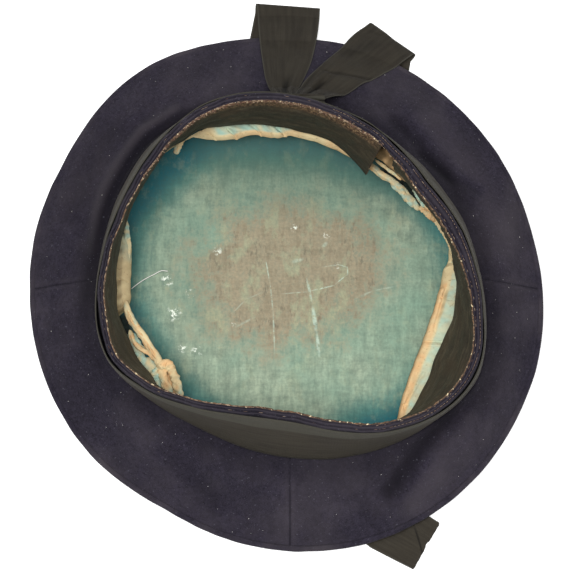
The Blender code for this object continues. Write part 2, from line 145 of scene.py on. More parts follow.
FOOT_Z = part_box("head_band")[0].z
EDGE_Z = FOOT_Z + 42.0 * MM
RIM = ring_of(cad_points("rim_welt"), lambda r, z: r.max())
FOOT = ring_of(cad_points("head_band"), lambda r, z: r[z < FOOT_Z + MM].max())
EDGE = ring_of(cad_points("head_band"), lambda r, z: r[z > EDGE_Z - 1.5 * MM].max())
SWEAT_FOOT = ring_of(cad_points("sweatband"), lambda r, z: r[z < FOOT_Z + 5 * MM].min())

SLOPE_SHARES = 13
SLOPE_OUT = 4.7 * MM
SLOPE_IN = 1.4 * MM


def slope_ends(degrees):
    """Radii of the frame's outer and inner ends of the side's slope."""
    return RIM(degrees) - SLOPE_OUT, FOOT(degrees) + SLOPE_IN


def read_slope():
    """Heights of the frame's side panels, at each spoke and at even shares of the way from the rim in."""
    points, faces = [], []
    for name in PANELS:
        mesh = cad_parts[name].data
        first = len(points)
        points += [vertex.co[:] for vertex in mesh.vertices]
        faces += [[first + i for i in polygon.vertices] for polygon in mesh.polygons]
    tree = BVHTree.FromPolygons(points, faces)
    heights = np.zeros((SPOKES, SLOPE_SHARES))
    for i in range(SPOKES):
        degrees = 360.0 * i / SPOKES + 0.3
        outer, inner = slope_ends(degrees)
        for j in range(SLOPE_SHARES):
            r = mix(outer, inner, np.clip(j / (SLOPE_SHARES - 1), 0.01, 0.99))
            start = Vector((r * math.cos(math.radians(degrees)), r * math.sin(math.radians(degrees)), 0.1))
            heights[i, j] = tree.ray_cast(start, Vector((0.0, 0.0, -1.0)))[0].z
    inside = heights[:, 1:-1]
    inside += 0.25 * (heights[:, :-2] + heights[:, 2:] - 2.0 * inside)
    return heights


SLOPE = [Ring(column) for column in read_slope().T]


def slope_height(degrees, radius):
    """The height of the side's upper face, run on straight past its two ends."""
    degrees, radius = np.broadcast_arrays(np.asarray(degrees, float), np.asarray(radius, float))
    outer, inner = slope_ends(degrees)
    place = (outer - radius) / (outer - inner) * (SLOPE_SHARES - 1)
    inside = np.clip(place, 0.0, SLOPE_SHARES - 1 - 1e-6)
    index = np.floor(inside).astype(int)
    columns = np.stack([column(degrees) for column in SLOPE])

    def read(k):
        return np.take_along_axis(columns, np.clip(index + k, 0, SLOPE_SHARES - 1)[None], 0)[0]

    height = spline(read(-1), read(0), read(1), read(2), inside - index)
    past = place - inside
    first = columns[1] - columns[0]
    last = columns[-1] - columns[-2]
    return height + np.where(past < 0.0, past * first, past * last)


# Soft folds that the side has besides the frame's: width and height, then places in plan, in millimetres
SIDE_FOLDS = (
    (3.8, 2.8, (-62, 95.5), (-79.5, 84.5), (-90.5, 69), (-99, 52), (-103.5, 37.5), (-104.5, 16)),
    (5.0, -4.8, (-50, 95), (-63, 88), (-75, 77), (-85, 61), (-92, 45), (-96, 28), (-98, 12)),
    (8.0, -1.6, (-98, 86), (-112, 62), (-119, 40)),
    (5.5, -2.6, (58, 90), (71, 76), (84, 62), (92, 46)),
    (4.5, -2.0, (72, 69), (87, 59), (101, 53)),
    (9.0, 1.2, (76, 92), (97, 68), (107, 43), (111, 18)),
    (6.0, -3.6, (94, -60), (82, -76), (70, -90), (54, -112)),
    (8.0, 2.0, (98, -76), (84, -98), (66, -118)),
    (5.0, -1.6, (108, -52), (100, -76), (84, -98)),
    (3.0, -1.5, (4, -97), (4, -105)),
    (7.0, -1.4, (-66, -92), (-38, -118)),
    (8.0, 1.0, (-88, -68), (-64, -102)),
    (5.0, -0.8, (28, -110), (46, -130)),
    (7.0, 1.2, (118, 30), (126, 58)),
    (10.0, -1.2, (-112, -20), (-108, -62)),
    (5.0, -1.5, (-100, -30), (-92, -56)),
)


def folds(x, y, rows):
    """How far soft folds lift a surface at places in plan."""
    height = np.zeros_like(x, dtype=float)
    for width, depth, *line in rows:
        places = np.array(line, float) * MM
        nearest = np.full_like(height, 1e9)
        for (x0, y0), (x1, y1) in zip(places[:-1], places[1:]):
            way = (x1 - x0) ** 2 + (y1 - y0) ** 2
            along = np.clip(((x - x0) * (x1 - x0) + (y - y0) * (y1 - y0)) / way, 0.0, 1.0)
            nearest = np.minimum(nearest, np.hypot(x - mix(x0, x1, along), y - mix(y0, y1, along)))
        height += depth * MM * np.exp(-(nearest / (width * MM)) ** 2)
    return height


def side_height(degrees, radius):
    """The height of the side's upper face with its soft folds."""
    degrees, radius = np.broadcast_arrays(np.asarray(degrees, float), np.asarray(radius, float))
    outer, inner = slope_ends(degrees)
    share = (outer - radius) / (outer - inner)
    x, y = in_plan(degrees, radius)
    depth = folds(x, y, SIDE_FOLDS) * smooth(share * 4.0) * smooth((1.0 - share) * 6.5)
    return slope_height(degrees, radius) + depth


# Settings that a user would change

def colour_setting(name, description, default):
    return FloatVectorProperty(
        name=name, description=description, default=default, subtype="COLOR", size=3, min=0.0, max=1.0)


def length_setting(name, description, default, low, high):
    """A length that is given here in millimetres and kept in metres."""
    return FloatProperty(
        name=name, description=description, default=default * MM, min=low * MM, max=high * MM, unit="LENGTH",
        subtype="DISTANCE", precision=5)


class WoolSettings(bpy.types.PropertyGroup):
    colour: colour_setting("Wool", "Colour of the navy cloth", srgb(34, 31, 40))
    dust: colour_setting("Dust", "Colour of the worn and dusty places", srgb(66, 61, 66))
    welt_radius: length_setting("Welt radius", "Radius of the rolled rim seam", 1.95, 0.5, 4)
    welt_strip: length_setting("Welt strip", "How far in from the rim the side begins", 2.9, 1, 8)
    wall: length_setting("Cloth", "Thickness of the side's cloth", 1.8, 0.5, 4)
    seam_drop: length_setting("Seam drop", "How deep a seam draws the cloth down", 0.6, 0, 3)


class BandSettings(bpy.types.PropertyGroup):
    edge_scale: FloatProperty(
        name="Edge width", description="Width of the band's folded edge as a share of the measured width",
        default=1.0, min=0.6, max=1.5)
    edge_wave: length_setting("Edge wave", "How far the edge strays from an even line", 0.35, 0, 2)
    oilcloth: colour_setting("Oilcloth", "Colour of the sweatband", srgb(45, 40, 31))
    scuffs: colour_setting("Scuffs", "Colour of the sweatband's rubbed places", srgb(112, 101, 78))
    sweat_wall: length_setting("Sweatband", "Thickness of the sweatband", 0.95, 0.3, 3)


class LiningSettings(bpy.types.PropertyGroup):
    deep: colour_setting("Deep teal", "Colour of the lining at its edge", srgb(16, 100, 112))
    pale: colour_setting("Pale teal", "Colour of the faded lining", srgb(158, 172, 148))
    worn: colour_setting("Worn patch", "Colour of the rubbed middle", srgb(150, 135, 110))
    cream: colour_setting("Hem", "Colour of the hem", srgb(205, 188, 146))
    peach: colour_setting("Stained hem", "Colour of the hem's stained places", srgb(212, 172, 124))
    wall: length_setting("Cotton", "Thickness of the cotton", 0.6, 0.2, 2)


class RibbonSettings(bpy.types.PropertyGroup):
    colour: colour_setting("Ribbon", "Colour of the faded black ribbon", srgb(38, 34, 28))
    width: length_setting("Width", "Width of the ribbon", 32, 10, 60)
    wall: length_setting("Thickness", "Thickness of the ribbon", 0.5, 0.2, 2)
    rib: length_setting("Rib", "Distance from rib to rib", 0.8, 0.2, 3)


class StitchSettings(bpy.types.PropertyGroup):
    thread: colour_setting("Thread", "Colour of the pale thread", srgb(160, 138, 114))
    rust: colour_setting("Rust thread", "Colour of the stained thread", srgb(92, 60, 46))
    spacing: length_setting("Stitch spacing", "From stitch to stitch on the band's edge", 2.1, 0.5, 10)
    thickness: length_setting("Thread thickness", "Thickness of a stitch", 0.42, 0.1, 2)
    lint: FloatProperty(
        name="Lint", description="Specks of lint on each square metre of wool", default=2600.0, min=0.0,
        max=20000.0)
    seed: IntProperty(
        name="Seed", description="Seed of the random stitches and lint", default=7, min=0, max=999)


class StageSettings(bpy.types.PropertyGroup):
    floor: colour_setting("Floor", "Colour of the floor", (0.86, 0.86, 0.86))
    distance: length_setting("Camera distance", "From the cap's origin to the camera", 1600, 300, 10000)
    elevation: FloatProperty(
        name="Camera elevation", description="Height of the camera above the floor as an angle",
        unit="ROTATION", subtype="ANGLE", default=math.radians(76.0), min=0.0, max=math.radians(90.0))
    floor_glow: FloatProperty(
        name="Floor glow", description="Light that the floor gives off, as a lit table does", default=0.4,
        min=0.0, max=2.0)
    show_floor: BoolProperty(name="Floor", description="Lay a pale floor under the cap", default=True)


SETTINGS = {
    "cap_wool": WoolSettings,
    "cap_band": BandSettings,
    "cap_lining": LiningSettings,
    "cap_ribbon": RibbonSettings,
    "cap_stitch": StitchSettings,
    "cap_stage": StageSettings,
}


def settings(name):
    return getattr(bpy.context.scene, name)


# Meshes

def grid_mesh(name, points, around=False, section=False, uv=None):
    """A mesh through a grid of points, rows by columns, closed over columns (around) or rows (section)."""
    rows, columns = points.shape[:2]
    row_numbers = np.arange(rows if section else rows - 1)
    column_numbers = np.arange(columns if around else columns - 1)
    i, j = np.meshgrid(row_numbers, column_numbers, indexing="ij")
    corners = [(i, j), (i, j + 1), (i + 1, j + 1), (i + 1, j)]
    faces = np.stack([(a % rows) * columns + b % columns for a, b in corners], -1).reshape(-1, 4)
    mesh = bpy.data.meshes.new(name)
    mesh.from_pydata(points.reshape(-1, 3).tolist(), [], faces.tolist())
    if uv is not None:
        layer = mesh.uv_layers.new(name="UVMap")
        loops = np.stack([uv[a, b] for a, b in corners], 2).reshape(-1, 2)
        layer.data.foreach_set("uv", loops.ravel().astype(np.float32))
    mesh.update()
    return mesh


def lengths_uv(points, around=False, section=False):
    """UVs in metres: u along the columns of a grid of points, v along its rows."""
    across = points if not around else np.concatenate([points, points[:, :1]], 1)
    across = across if not section else np.concatenate([across, across[:1]], 0)
    u = np.linalg.norm(np.diff(across, axis=1), axis=2)
    v = np.linalg.norm(np.diff(across, axis=0), axis=2)
    u = np.concatenate([np.zeros((len(u), 1)), np.cumsum(u, 1)], 1)
    v = np.concatenate([np.zeros((1, v.shape[1])), np.cumsum(v, 0)], 0)
    u = np.broadcast_to(u.mean(0), u.shape)
    return np.stack([u, v], -1)


def polar(degrees, radius, height):
    """Points from angles, radii and heights."""
    return np.stack(np.broadcast_arrays(*in_plan(degrees, radius), height), -1)


def outwards(mesh, *holes):
    """Fills holes in a mesh, each given by the numbers of its vertices, and turns its faces outwards."""
    made = bmesh.new()
    made.from_mesh(mesh)
    made.verts.ensure_lookup_table()
    for hole in holes:
        made.faces.new([made.verts[i] for i in hole])
    bmesh.ops.recalc_face_normals(made, faces=made.faces)
    made.to_mesh(mesh)
    made.free()
    return mesh


def cap_ends(mesh, rows, columns):
    """Closes the two ends of a grid whose rows are closed and whose columns are open."""
    return outwards(mesh, range(0, rows * columns, columns), range(rows * columns - 1, 0, -columns))


def cap_rows(mesh, rows, columns):
    """Closes the first and the last row of a grid whose columns are closed."""
    return outwards(mesh, range(columns), range((rows - 1) * columns, rows * columns))


def facing(mesh, upward, number=0):
    """Turns an open sheet over unless that face of it looks up, or down if upward is False."""
    if (mesh.polygons[number].normal.z > 0.0) != upward:
        mesh.flip_normals()
    return mesh


def paint(mesh, name, colours):
    """Gives each vertex a colour or value that its material reads."""
    layer = mesh.attributes.new(name, "FLOAT_COLOR", "POINT")
    colours = np.asarray(colours, float).reshape(len(mesh.vertices), -1)
    full = np.ones((len(mesh.vertices), 4))
    full[:, :colours.shape[1]] = colours
    layer.data.foreach_set("color", full.ravel().astype(np.float32))


def wall(made, thickness, offset=-1.0, edge_material=0):
    solid = made.modifiers.new("wall", "SOLIDIFY")
    solid.thickness = thickness
    solid.offset = offset
    solid.material_offset_rim = edge_material
    return made


def piece(name, mesh, finishes, slot, *nodes):
    """A finished piece, shaded smooth with its materials, riding on the cap in place of the frame's nodes."""
    made = bpy.data.objects.new(name, mesh)
    bpy.context.scene.collection.objects.link(made)
    for finish in finishes if isinstance(finishes, (list, tuple)) else [finishes]:
        if finish.name not in mesh.materials:
            mesh.materials.append(finish)
    mesh.shade_smooth()
    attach(made, "root")
    if nodes:
        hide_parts(*nodes)
    return made


# Materials

def add(tree, kind, inputs=None, **values):
    """A node with its settings, and its inputs set to values or linked to sockets."""
    node = tree.nodes.new(kind)
    for name, value in values.items():
        setattr(node, name, value)
    for name, value in (inputs or {}).items():
        if isinstance(value, bpy.types.NodeSocket):
            tree.links.new(value, node.inputs[name])
        else:
            node.inputs[name].default_value = value
    return node


def new_finish(name, colour, **sockets):
    """A material with its shader; numbers that are the same all over are set on the shader itself."""
    made = bpy.data.materials.new(name)
    made.use_nodes = True
    made.diffuse_color = (*colour, 1.0)
    shader = made.node_tree.nodes["Principled BSDF"]
    for socket, value in sockets.items():
        shader.inputs[socket.replace("_", " ")].default_value = value
    return made, made.node_tree, shader


def places(tree, which="Object"):
    return add(tree, "ShaderNodeTexCoord").outputs[which]


def stretched(tree, at, scale=(1, 1, 1), move=(0, 0, 0), turn=(0, 0, 0)):
    return add(tree, "ShaderNodeMapping", {"Vector": at, "Scale": scale, "Location": move, "Rotation": turn}
               ).outputs["Vector"]


def speckle(tree, at, scale, detail=3.0, rough=0.55):
    """Noise with about that many lumps to the metre."""
    return add(tree, "ShaderNodeTexNoise", {
        "Vector": at, "Scale": scale, "Detail": detail, "Roughness": rough}).outputs["Fac"]


def level(tree, value, low, high, to_low=0.0, to_high=1.0):
    """A value brought from one range to another, cut off at its ends."""
    return add(tree, "ShaderNodeMapRange", {
        "Value": value, "From Min": low, "From Max": high, "To Min": to_low, "To Max": to_high
    }).outputs["Result"]


def sum_of(tree, *values, operation="ADD"):
    total = values[0]
    for value in values[1:]:
        total = add(tree, "ShaderNodeMath", {0: total, 1: value}, operation=operation).outputs["Value"]
    return total


def times(tree, *values):
    return sum_of(tree, *values, operation="MULTIPLY")


def blend(tree, share, first, second):
    """One colour gone over into another by a share."""
    node = add(tree, "ShaderNodeMix", data_type="RGBA")
    for socket, value in ((node.inputs["Factor"], share), (node.inputs[6], first), (node.inputs[7], second)):
        if isinstance(value, bpy.types.NodeSocket):
            tree.links.new(value, socket)
        elif isinstance(value, (int, float)):
            socket.default_value = value
        else:
            socket.default_value = (*tuple(value)[:3], 1.0)
    return node.outputs[2]


def relief(tree, height, distance, strength=1.0):
    """A normal raised by a height."""
    node = add(tree, "ShaderNodeBump", {"Height": height, "Distance": distance, "Strength": strength})
    return node.outputs["Normal"]


def connect(tree, shader, **sockets):
    for name, socket in sockets.items():
        tree.links.new(socket, shader.inputs[name.replace("_", " ")])


def shade_of(colour, share):
    """A colour made lighter or darker."""
    return tuple(c * share for c in colour)


def painted_tones(tree):
    """Red, green and blue of the tones painted on a piece, all 0 on a piece without them."""
    tones = add(tree, "ShaderNodeAttribute", attribute_name="tone").outputs["Color"]
    return add(tree, "ShaderNodeSeparateColor", {"Color": tones}).outputs


def wool_finish(name="navy wool", dust=0.36, shade=1.0, flecked=0.72):
    """Fulled wool: a fine nap over a faint twill, with dusty and rubbed places, and painted highlight and
    painted shade read from each piece's tones.
    """
    own = settings("cap_wool")
    made, tree, shader = new_finish(
        name, own.colour, Roughness=0.96, Specular_IOR_Level=0.12, Sheen_Weight=0.06, Sheen_Roughness=0.4,
        Sheen_Tint=(0.64, 0.62, 0.68, 1.0))
    at = places(tree)
    fine = speckle(tree, at, 1500.0, 3.0, 0.7)
    fibre = speckle(tree, stretched(tree, at, (1.0, 0.35, 1.0), turn=(0, 0, 0.6)), 2600.0, 2.0, 0.6)
    broad = speckle(tree, at, 26.0, 4.0, 0.6)
    clouds = speckle(tree, at, 160.0, 3.0, 0.6)
    twill = add(tree, "ShaderNodeTexWave", {"Vector": stretched(tree, at, turn=(0, 0, 0.8)), "Scale": 420.0,
                                            "Distortion": 1.5, "Detail": 1.0, "Detail Scale": 2.0},
                wave_type="BANDS").outputs["Fac"]
    cloth = shade_of(own.colour, shade)
    nap = blend(tree, level(tree, fine, 0.35, 0.7), shade_of(cloth, 0.5), shade_of(cloth, 1.7))
    tufts = speckle(tree, at, 520.0, 4.0, 0.75)
    lit = blend(tree, level(tree, tufts, 0.4, 0.66, 0.0, 0.6), nap, shade_of(cloth, 2.3))
    clouded = blend(tree, level(tree, clouds, 0.4, 0.7, 0.0, 0.3), lit, shade_of(cloth, 1.25))
    veil = times(tree, level(tree, broad, 0.44, 0.66), dust)
    flecks = level(tree, speckle(tree, at, 900.0, 1.0, 0.4), flecked, flecked + 0.03, 0.0, 0.55)
    dusty = blend(tree, veil, clouded, own.dust)
    slanting = speckle(tree, stretched(tree, at, (1.0, 0.5, 1.0), turn=(0, 0, 0.5)), 60.0, 5.0, 0.7)
    smears = level(tree, slanting, 0.35, 0.7, 0.0, 0.45)
    smeared = blend(tree, smears, dusty, shade_of(own.colour, 0.42))
    painted = painted_tones(tree)
    # Red of the tones turns the wool towards the dust colour, as wear and as painted highlight; green darkens
    # it as painted shade
    raised = blend(tree, painted["Red"], smeared, own.dust)
    deep = blend(tree, painted["Green"], raised, srgb(12, 10, 16))
    colour = blend(tree, flecks, deep, srgb(76, 75, 84))
    height = sum_of(tree, fine, times(tree, fibre, 0.6), times(tree, twill, 0.25))
    connect(tree, shader, Base_Color=colour, Normal=relief(tree, height, 0.22 * MM, 0.6))
    return made


def ribbon_finish():
    """Ribbed silk ribbon on its own UVs: u across it and v along it, both in metres."""
    own = settings("cap_ribbon")
    made, tree, shader = new_finish(
        "ribbed ribbon", own.colour, Specular_IOR_Level=0.16)
    at = places(tree, "UV")
    ribs = add(tree, "ShaderNodeTexWave", {"Vector": at, "Scale": 0.314 / own.rib, "Distortion": 0.6,
                                           "Detail": 1.0, "Detail Scale": 1.0},
               wave_type="BANDS", bands_direction="Y").outputs["Fac"]
    body = places(tree)
    patches = speckle(tree, body, 60.0, 4.0, 0.6)
    threads = speckle(tree, stretched(tree, at, (1.0, 0.07, 1.0)), 520.0, 4.0, 0.65)
    grain = speckle(tree, body, 1400.0, 2.0, 0.6)
    across = add(tree, "ShaderNodeSeparateXYZ", {"Vector": at}).outputs["X"]
    side = sum_of(tree, across, 0.5 * own.width, operation="SUBTRACT")
    away = add(tree, "ShaderNodeMath", {0: side}, operation="ABSOLUTE").outputs["Value"]
    selvedge = level(tree, away, 0.5 * own.width - 0.9 * MM, 0.5 * own.width - 0.4 * MM, 0.0, 0.6)
    dark = blend(tree, level(tree, patches, 0.3, 0.7), shade_of(own.colour, 0.85),
                 shade_of(own.colour, 1.2))
    streaked = blend(tree, level(tree, threads, 0.35, 0.68, 0.0, 0.5), dark, srgb(61, 57, 48))
    faded = blend(tree, level(tree, grain, 0.3, 0.75, 0.0, 0.3), streaked, srgb(55, 51, 43))
    painted = painted_tones(tree)
    # Green of the tones is painted shade: in the tails' pleats, by the knot, over their upper layers and
    # along a crease
    creased = blend(tree, painted["Green"], faded, srgb(14, 13, 12))
    edged = blend(tree, selvedge, creased, srgb(66, 65, 58))
    rough = level(tree, patches, 0.3, 0.7, 0.72, 0.86)
    height = sum_of(tree, ribs, times(tree, threads, 0.7), times(tree, grain, 0.5))
    connect(tree, shader, Base_Color=edged, Roughness=rough, Normal=relief(tree, height, 0.12 * MM, 0.6))
    return made


def oilcloth_finish():
    """Dark oilcloth on its own UVs, mottled, cracked and scuffed with fine slanting scratches."""
    own = settings("cap_band")
    made, tree, shader = new_finish("dark oilcloth", own.oilcloth, Specular_IOR_Level=0.3)
    at = places(tree, "UV")
    mottle = speckle(tree, at, 150.0, 5.0, 0.65)
    broad = speckle(tree, at, 40.0, 3.0, 0.5)
    slant = stretched(tree, at, (1.0, 9.0, 1.0), turn=(0, 0, 0.9))
    scratches = level(tree, speckle(tree, slant, 260.0, 3.0, 0.7), 0.6, 0.74)
    crackle = add(tree, "ShaderNodeTexVoronoi", {"Vector": at, "Scale": 650.0}, feature="DISTANCE_TO_EDGE"
                  ).outputs["Distance"]
    cracks = level(tree, crackle, 0.0, 0.12, 1.0, 0.0)
    base = blend(tree, level(tree, mottle, 0.32, 0.68), shade_of(own.oilcloth, 0.6),
                 shade_of(own.oilcloth, 1.35))
    brown = blend(tree, level(tree, broad, 0.45, 0.7, 0.0, 0.5), base, srgb(66, 52, 36))
    strokes = speckle(tree, stretched(tree, at, (0.16, 1.0, 1.0)), 420.0, 5.0, 0.75)
    rubbed = level(tree, strokes, 0.5, 0.72, 0.0, 0.75)
    streaked = blend(tree, rubbed, brown, srgb(92, 84, 66))
    scuffed = blend(tree, times(tree, scratches, 0.85), streaked, own.scuffs)
    cracked = blend(tree, times(tree, cracks, 0.25), scuffed, srgb(26, 23, 18))
    tufts = level(tree, speckle(tree, at, 700.0, 4.0, 0.75), 0.45, 0.62)
    frayed = blend(tree, tufts, srgb(50, 32, 25), srgb(140, 114, 84))
    colour = blend(tree, painted_tones(tree)["Red"], cracked, frayed)
    rough = level(tree, mottle, 0.3, 0.7, 0.5, 0.8)
    height = sum_of(tree, mottle, times(tree, scratches, 0.5), times(tree, cracks, -0.35))
    connect(tree, shader, Base_Color=colour, Roughness=rough, Normal=relief(tree, height, 0.25 * MM, 0.6))
    return made


def cut_edge_finish():
    """The sweatband's cut edges: rubbed down to tan backing cloth."""
    made, tree, shader = new_finish("cut edge", srgb(126, 103, 76), Roughness=0.85)
    at = places(tree)
    ragged = speckle(tree, at, 520.0, 4.0, 0.7)
    tan = blend(tree, level(tree, ragged, 0.4, 0.62), srgb(38, 27, 20), srgb(104, 78, 54))
    pale = blend(tree, level(tree, speckle(tree, at, 460.0, 2.0, 0.6), 0.6, 0.66), tan, srgb(206, 188, 152))
    connect(tree, shader, Base_Color=pale, Normal=relief(tree, ragged, 0.3 * MM, 0.8))
    return made


def weave(tree, at, pitch):
    """The height of a plain weave with that distance between threads."""
    bands = [add(tree, "ShaderNodeTexWave", {"Vector": at, "Scale": 0.314 / pitch, "Distortion": 0.8,
                                             "Detail": 1.0, "Detail Scale": 3.0},
                 wave_type="BANDS", bands_direction=axis).outputs["Fac"] for axis in ("X", "Y")]
    return sum_of(tree, *bands)


# The lining's marks in plan, in millimetres: rubbed patch (centre and half widths), scratches and glints
WORN_PATCH = (-1.0, 10.0, 56.0, 44.0)
SCRATCHES = (
    (8.8, 8.1, 12.2, -7.8, 0.9, 0.7),
    (12.2, -7.8, 14.3, -24.4, 1.5, 0.9),
    (14.3, -22.0, 16.0, -38.0, 1.2, 0.8),
    (-13.6, 19.2, -10.9, 3.4, 0.4, 0.7),
    (-10.9, 5.0, -9.2, -12.0, 0.5, 0.7),
    (-9.2, -10.0, -8.2, -37.0, 0.6, 0.6),
    (-6.0, -2.3, 12.0, -0.6, 0.4, 0.5),
    (10.0, -0.6, 25.5, 3.3, 0.5, 0.8),
    (24.0, 3.0, 31.6, 9.4, 0.4, 0.8),
    (31.4, 8.0, 31.3, 13.6, 0.4, 0.7),
    (32.0, 12.6, 26.0, 14.8, 0.4, 0.6),
    (27.2, 14.6, 16.3, 13.0, 0.4, 0.4),
    (34.5, -5.2, 45.5, 0.0, 0.8, 0.45),
    (44.0, -0.4, 60.0, 2.8, 0.6, 0.4),
    (0.0, 15.4, 8.2, 18.0, 1.3, 0.45),
    (-31.0, -12.4, -24.0, -5.0, 0.5, 0.35),
    (-25.0, -5.4, -14.0, -0.8, 0.5, 0.3),
    (-30.6, -21.0, -18.0, -14.2, 0.8, 0.35),
    (17.5, 24.0, 20.5, 27.5, 1.3, 0.45),
)
GLINTS = (
    (-66.6, 5.8, 4.2), (-54.3, -1.8, 3.0), (-63.0, -13.0, 5.0), (-57.7, -32.0, 3.2), (-50.3, -34.6, 4.0),
    (-39.6, 22.0, 2.8), (-31.0, -18.0, 2.4), (2.0, 35.0, 2.4), (20.0, 31.0, 2.2), (26.0, 14.0, 2.2),
)
# How far out the lining's middle has faded: angle, millimetres
FADE_EDGE = ring_through((
    (0, 84), (20, 82), (35, 79), (50, 74), (70, 70), (90, 70), (105, 73), (120, 79), (135, 82), (160, 84),
    (180, 81), (190, 76), (205, 72), (220, 74), (235, 73), (250, 75), (270, 77), (290, 74), (300, 74),
    (315, 82), (340, 84),
))
# Gaps beyond the hem where the lining is painted black as deep shade: middle angle, half spread, and inner
# radius in millimetres
SHADED_GAPS = ((199, 11, 88.0), (44, 10, 83.0), (213, 8, 93.0))


def blob(tree, at, x, y, half_x, half_y):
    """The share of the way from a place in plan out to an oval round it."""
    scale = (1.0 / (half_x * MM), 1.0 / (half_y * MM), 0.0)
    moved = stretched(tree, at, scale, (-x / half_x, -y / half_y, 0.0))
    return add(tree, "ShaderNodeVectorMath", {0: moved}, operation="LENGTH").outputs["Value"]


def scratch(tree, at, x0, y0, x1, y1, width):
    """1 on a line in plan, 0 away from it."""
    turn = math.atan2(y1 - y0, x1 - x0)
    half = 0.5 * math.hypot(x1 - x0, y1 - y0)
    x, y = (x0 + x1) / 2, (y0 + y1) / 2
    centred = stretched(tree, at, move=(-x * MM, -y * MM, 0.0))
    turned = stretched(tree, centred, turn=(0.0, 0.0, -turn))
    scaled = stretched(tree, turned, (1.0 / (half * MM), 1.0 / (width * MM), 0.0))
    away = add(tree, "ShaderNodeVectorMath", {0: scaled}, operation="LENGTH").outputs["Value"]
    return level(tree, away, 0.5, 1.0, 1.0, 0.0)


def lining_finish():
    """Teal cotton: deep at its edge, faded inside, and rubbed grey-brown over the middle."""
    own = settings("cap_lining")
    made, tree, shader = new_finish("teal cotton", own.pale, Specular_IOR_Level=0.3)
    at = places(tree)
    warp = speckle(tree, at, 22.0, 4.0, 0.6)
    upright = speckle(tree, stretched(tree, at, (1.0, 0.22, 1.0)), 330.0, 4.0, 0.7)
    level_ones = speckle(tree, stretched(tree, at, (0.22, 1.0, 1.0)), 300.0, 4.0, 0.7)
    streaks = sum_of(tree, times(tree, upright, 0.6), times(tree, level_ones, 0.4))
    fine = speckle(tree, at, 700.0, 3.0, 0.6)
    painted = painted_tones(tree)
    broad = speckle(tree, at, 48.0, 4.0, 0.65)
    middle = sum_of(tree, times(tree, painted["Red"], 1.5), times(tree, warp, 0.4), times(tree, broad, 0.5),
                    times(tree, streaks, 0.5))
    fade = level(tree, middle, 1.55, 2.2)
    turning = level(tree, middle, 0.95, 1.75)
    for step in (fade, turning):
        step.node.interpolation_type = "SMOOTHSTEP"
    faded = blend(tree, level(tree, streaks, 0.36, 0.64), own.pale, shade_of(own.pale, 0.72))
    green = blend(tree, level(tree, warp, 0.45, 0.7), faded, srgb(136, 160, 138))
    clouded = blend(tree, level(tree, broad, 0.35, 0.7, 0.0, 0.5), green, srgb(116, 146, 128))
    darker = blend(tree, turning, clouded, srgb(72, 122, 114))
    teal = blend(tree, fade, darker, own.deep)
    middling = speckle(tree, at, 62.0, 6.0, 0.7)
    worn = sum_of(tree, blob(tree, at, *WORN_PATCH), times(tree, warp, 0.5), times(tree, middling, 1.2),
                  times(tree, streaks, 1.0), times(tree, fine, 0.4))
    patch = level(tree, worn, 2.28, 2.66, 0.92, 0.0)
    brown = blend(tree, level(tree, streaks, 0.4, 0.6), shade_of(own.worn, 0.72),
                  shade_of(own.worn, 1.3))
    rubbed = blend(tree, patch, teal, brown)
    dots = speckle(tree, stretched(tree, at, (1.0, 0.4, 1.0)), 420.0, 3.0, 0.6)
    spots = level(tree, dots, 0.58, 0.7, 0.0, 0.6)
    spotted = blend(tree, times(tree, spots, patch), rubbed, srgb(92, 84, 72))
    stains = speckle(tree, stretched(tree, at, (1.0, 0.6, 1.0)), 110.0, 5.0, 0.7)
    yellowed = level(tree, stains, 0.52, 0.64, 0.0, 0.7)
    mottled = blend(tree, times(tree, yellowed, sum_of(tree, times(tree, patch, 0.6), 0.4)), spotted,
                    srgb(160, 165, 134))
    shaded = blend(tree, painted["Blue"], mottled, srgb(70, 92, 78))
    # Painted shade: near-black in the deep gaps beyond the hem
    gap_shaded = blend(tree, painted["Green"], shaded, srgb(12, 13, 11))
    lines = sum_of(tree, *[times(tree, scratch(tree, at, *row[:5]), row[5]) for row in SCRATCHES])
    broken = level(tree, speckle(tree, at, 380.0, 3.0, 0.7), 0.36, 0.52, 0.0, 0.85)
    scratched = blend(tree, times(tree, lines, broken), gap_shaded, srgb(186, 206, 188))
    near = sum_of(tree, *[level(tree, blob(tree, at, x, y, r, r), 0.4, 1.0, 1.0, 0.0) for x, y, r in GLINTS])
    bright = level(tree, speckle(tree, at, 420.0, 4.0, 0.7), 0.52, 0.6)
    glint = times(tree, bright, near, 0.85)
    threads = sum_of(tree, times(tree, upright, 0.5), times(tree, level_ones, 0.3), times(tree, fine, 0.4))
    woven = blend(tree, level(tree, threads, 0.5, 0.72, 0.0, 0.42), scratched, srgb(66, 88, 80))
    colour = blend(tree, glint, woven, srgb(232, 238, 224))
    rough = level(tree, glint, 0.0, 1.0, 0.8, 0.4)
    height = sum_of(tree, times(tree, weave(tree, at, 0.55 * MM), 0.35), fine, times(tree, streaks, 0.7))
    connect(tree, shader, Base_Color=colour, Roughness=rough, Normal=relief(tree, height, 0.2 * MM, 0.6))
    return made


def hem_finish():
    """Creased cotton whose colour is painted on each piece, with stains and a fine weave."""
    own = settings("cap_lining")
    made, tree, shader = new_finish("hem cotton", own.cream, Roughness=0.88, Specular_IOR_Level=0.25)
    at = places(tree)
    painted = add(tree, "ShaderNodeAttribute", attribute_name="tint").outputs["Color"]
    stains = speckle(tree, at, 70.0, 5.0, 0.65)
    specks = level(tree, speckle(tree, at, 640.0, 3.0, 0.6), 0.62, 0.7, 0.0, 0.5)
    shaded = blend(tree, level(tree, stains, 0.42, 0.68, 0.0, 0.5), painted, srgb(158, 132, 96))
    colour = blend(tree, specks, shaded, srgb(122, 98, 68))
    fine = speckle(tree, at, 480.0, 3.0, 0.6)
    height = sum_of(tree, times(tree, weave(tree, at, 0.5 * MM), 0.3), fine)
    connect(tree, shader, Base_Color=colour, Normal=relief(tree, height, 0.25 * MM, 0.6))
    return made


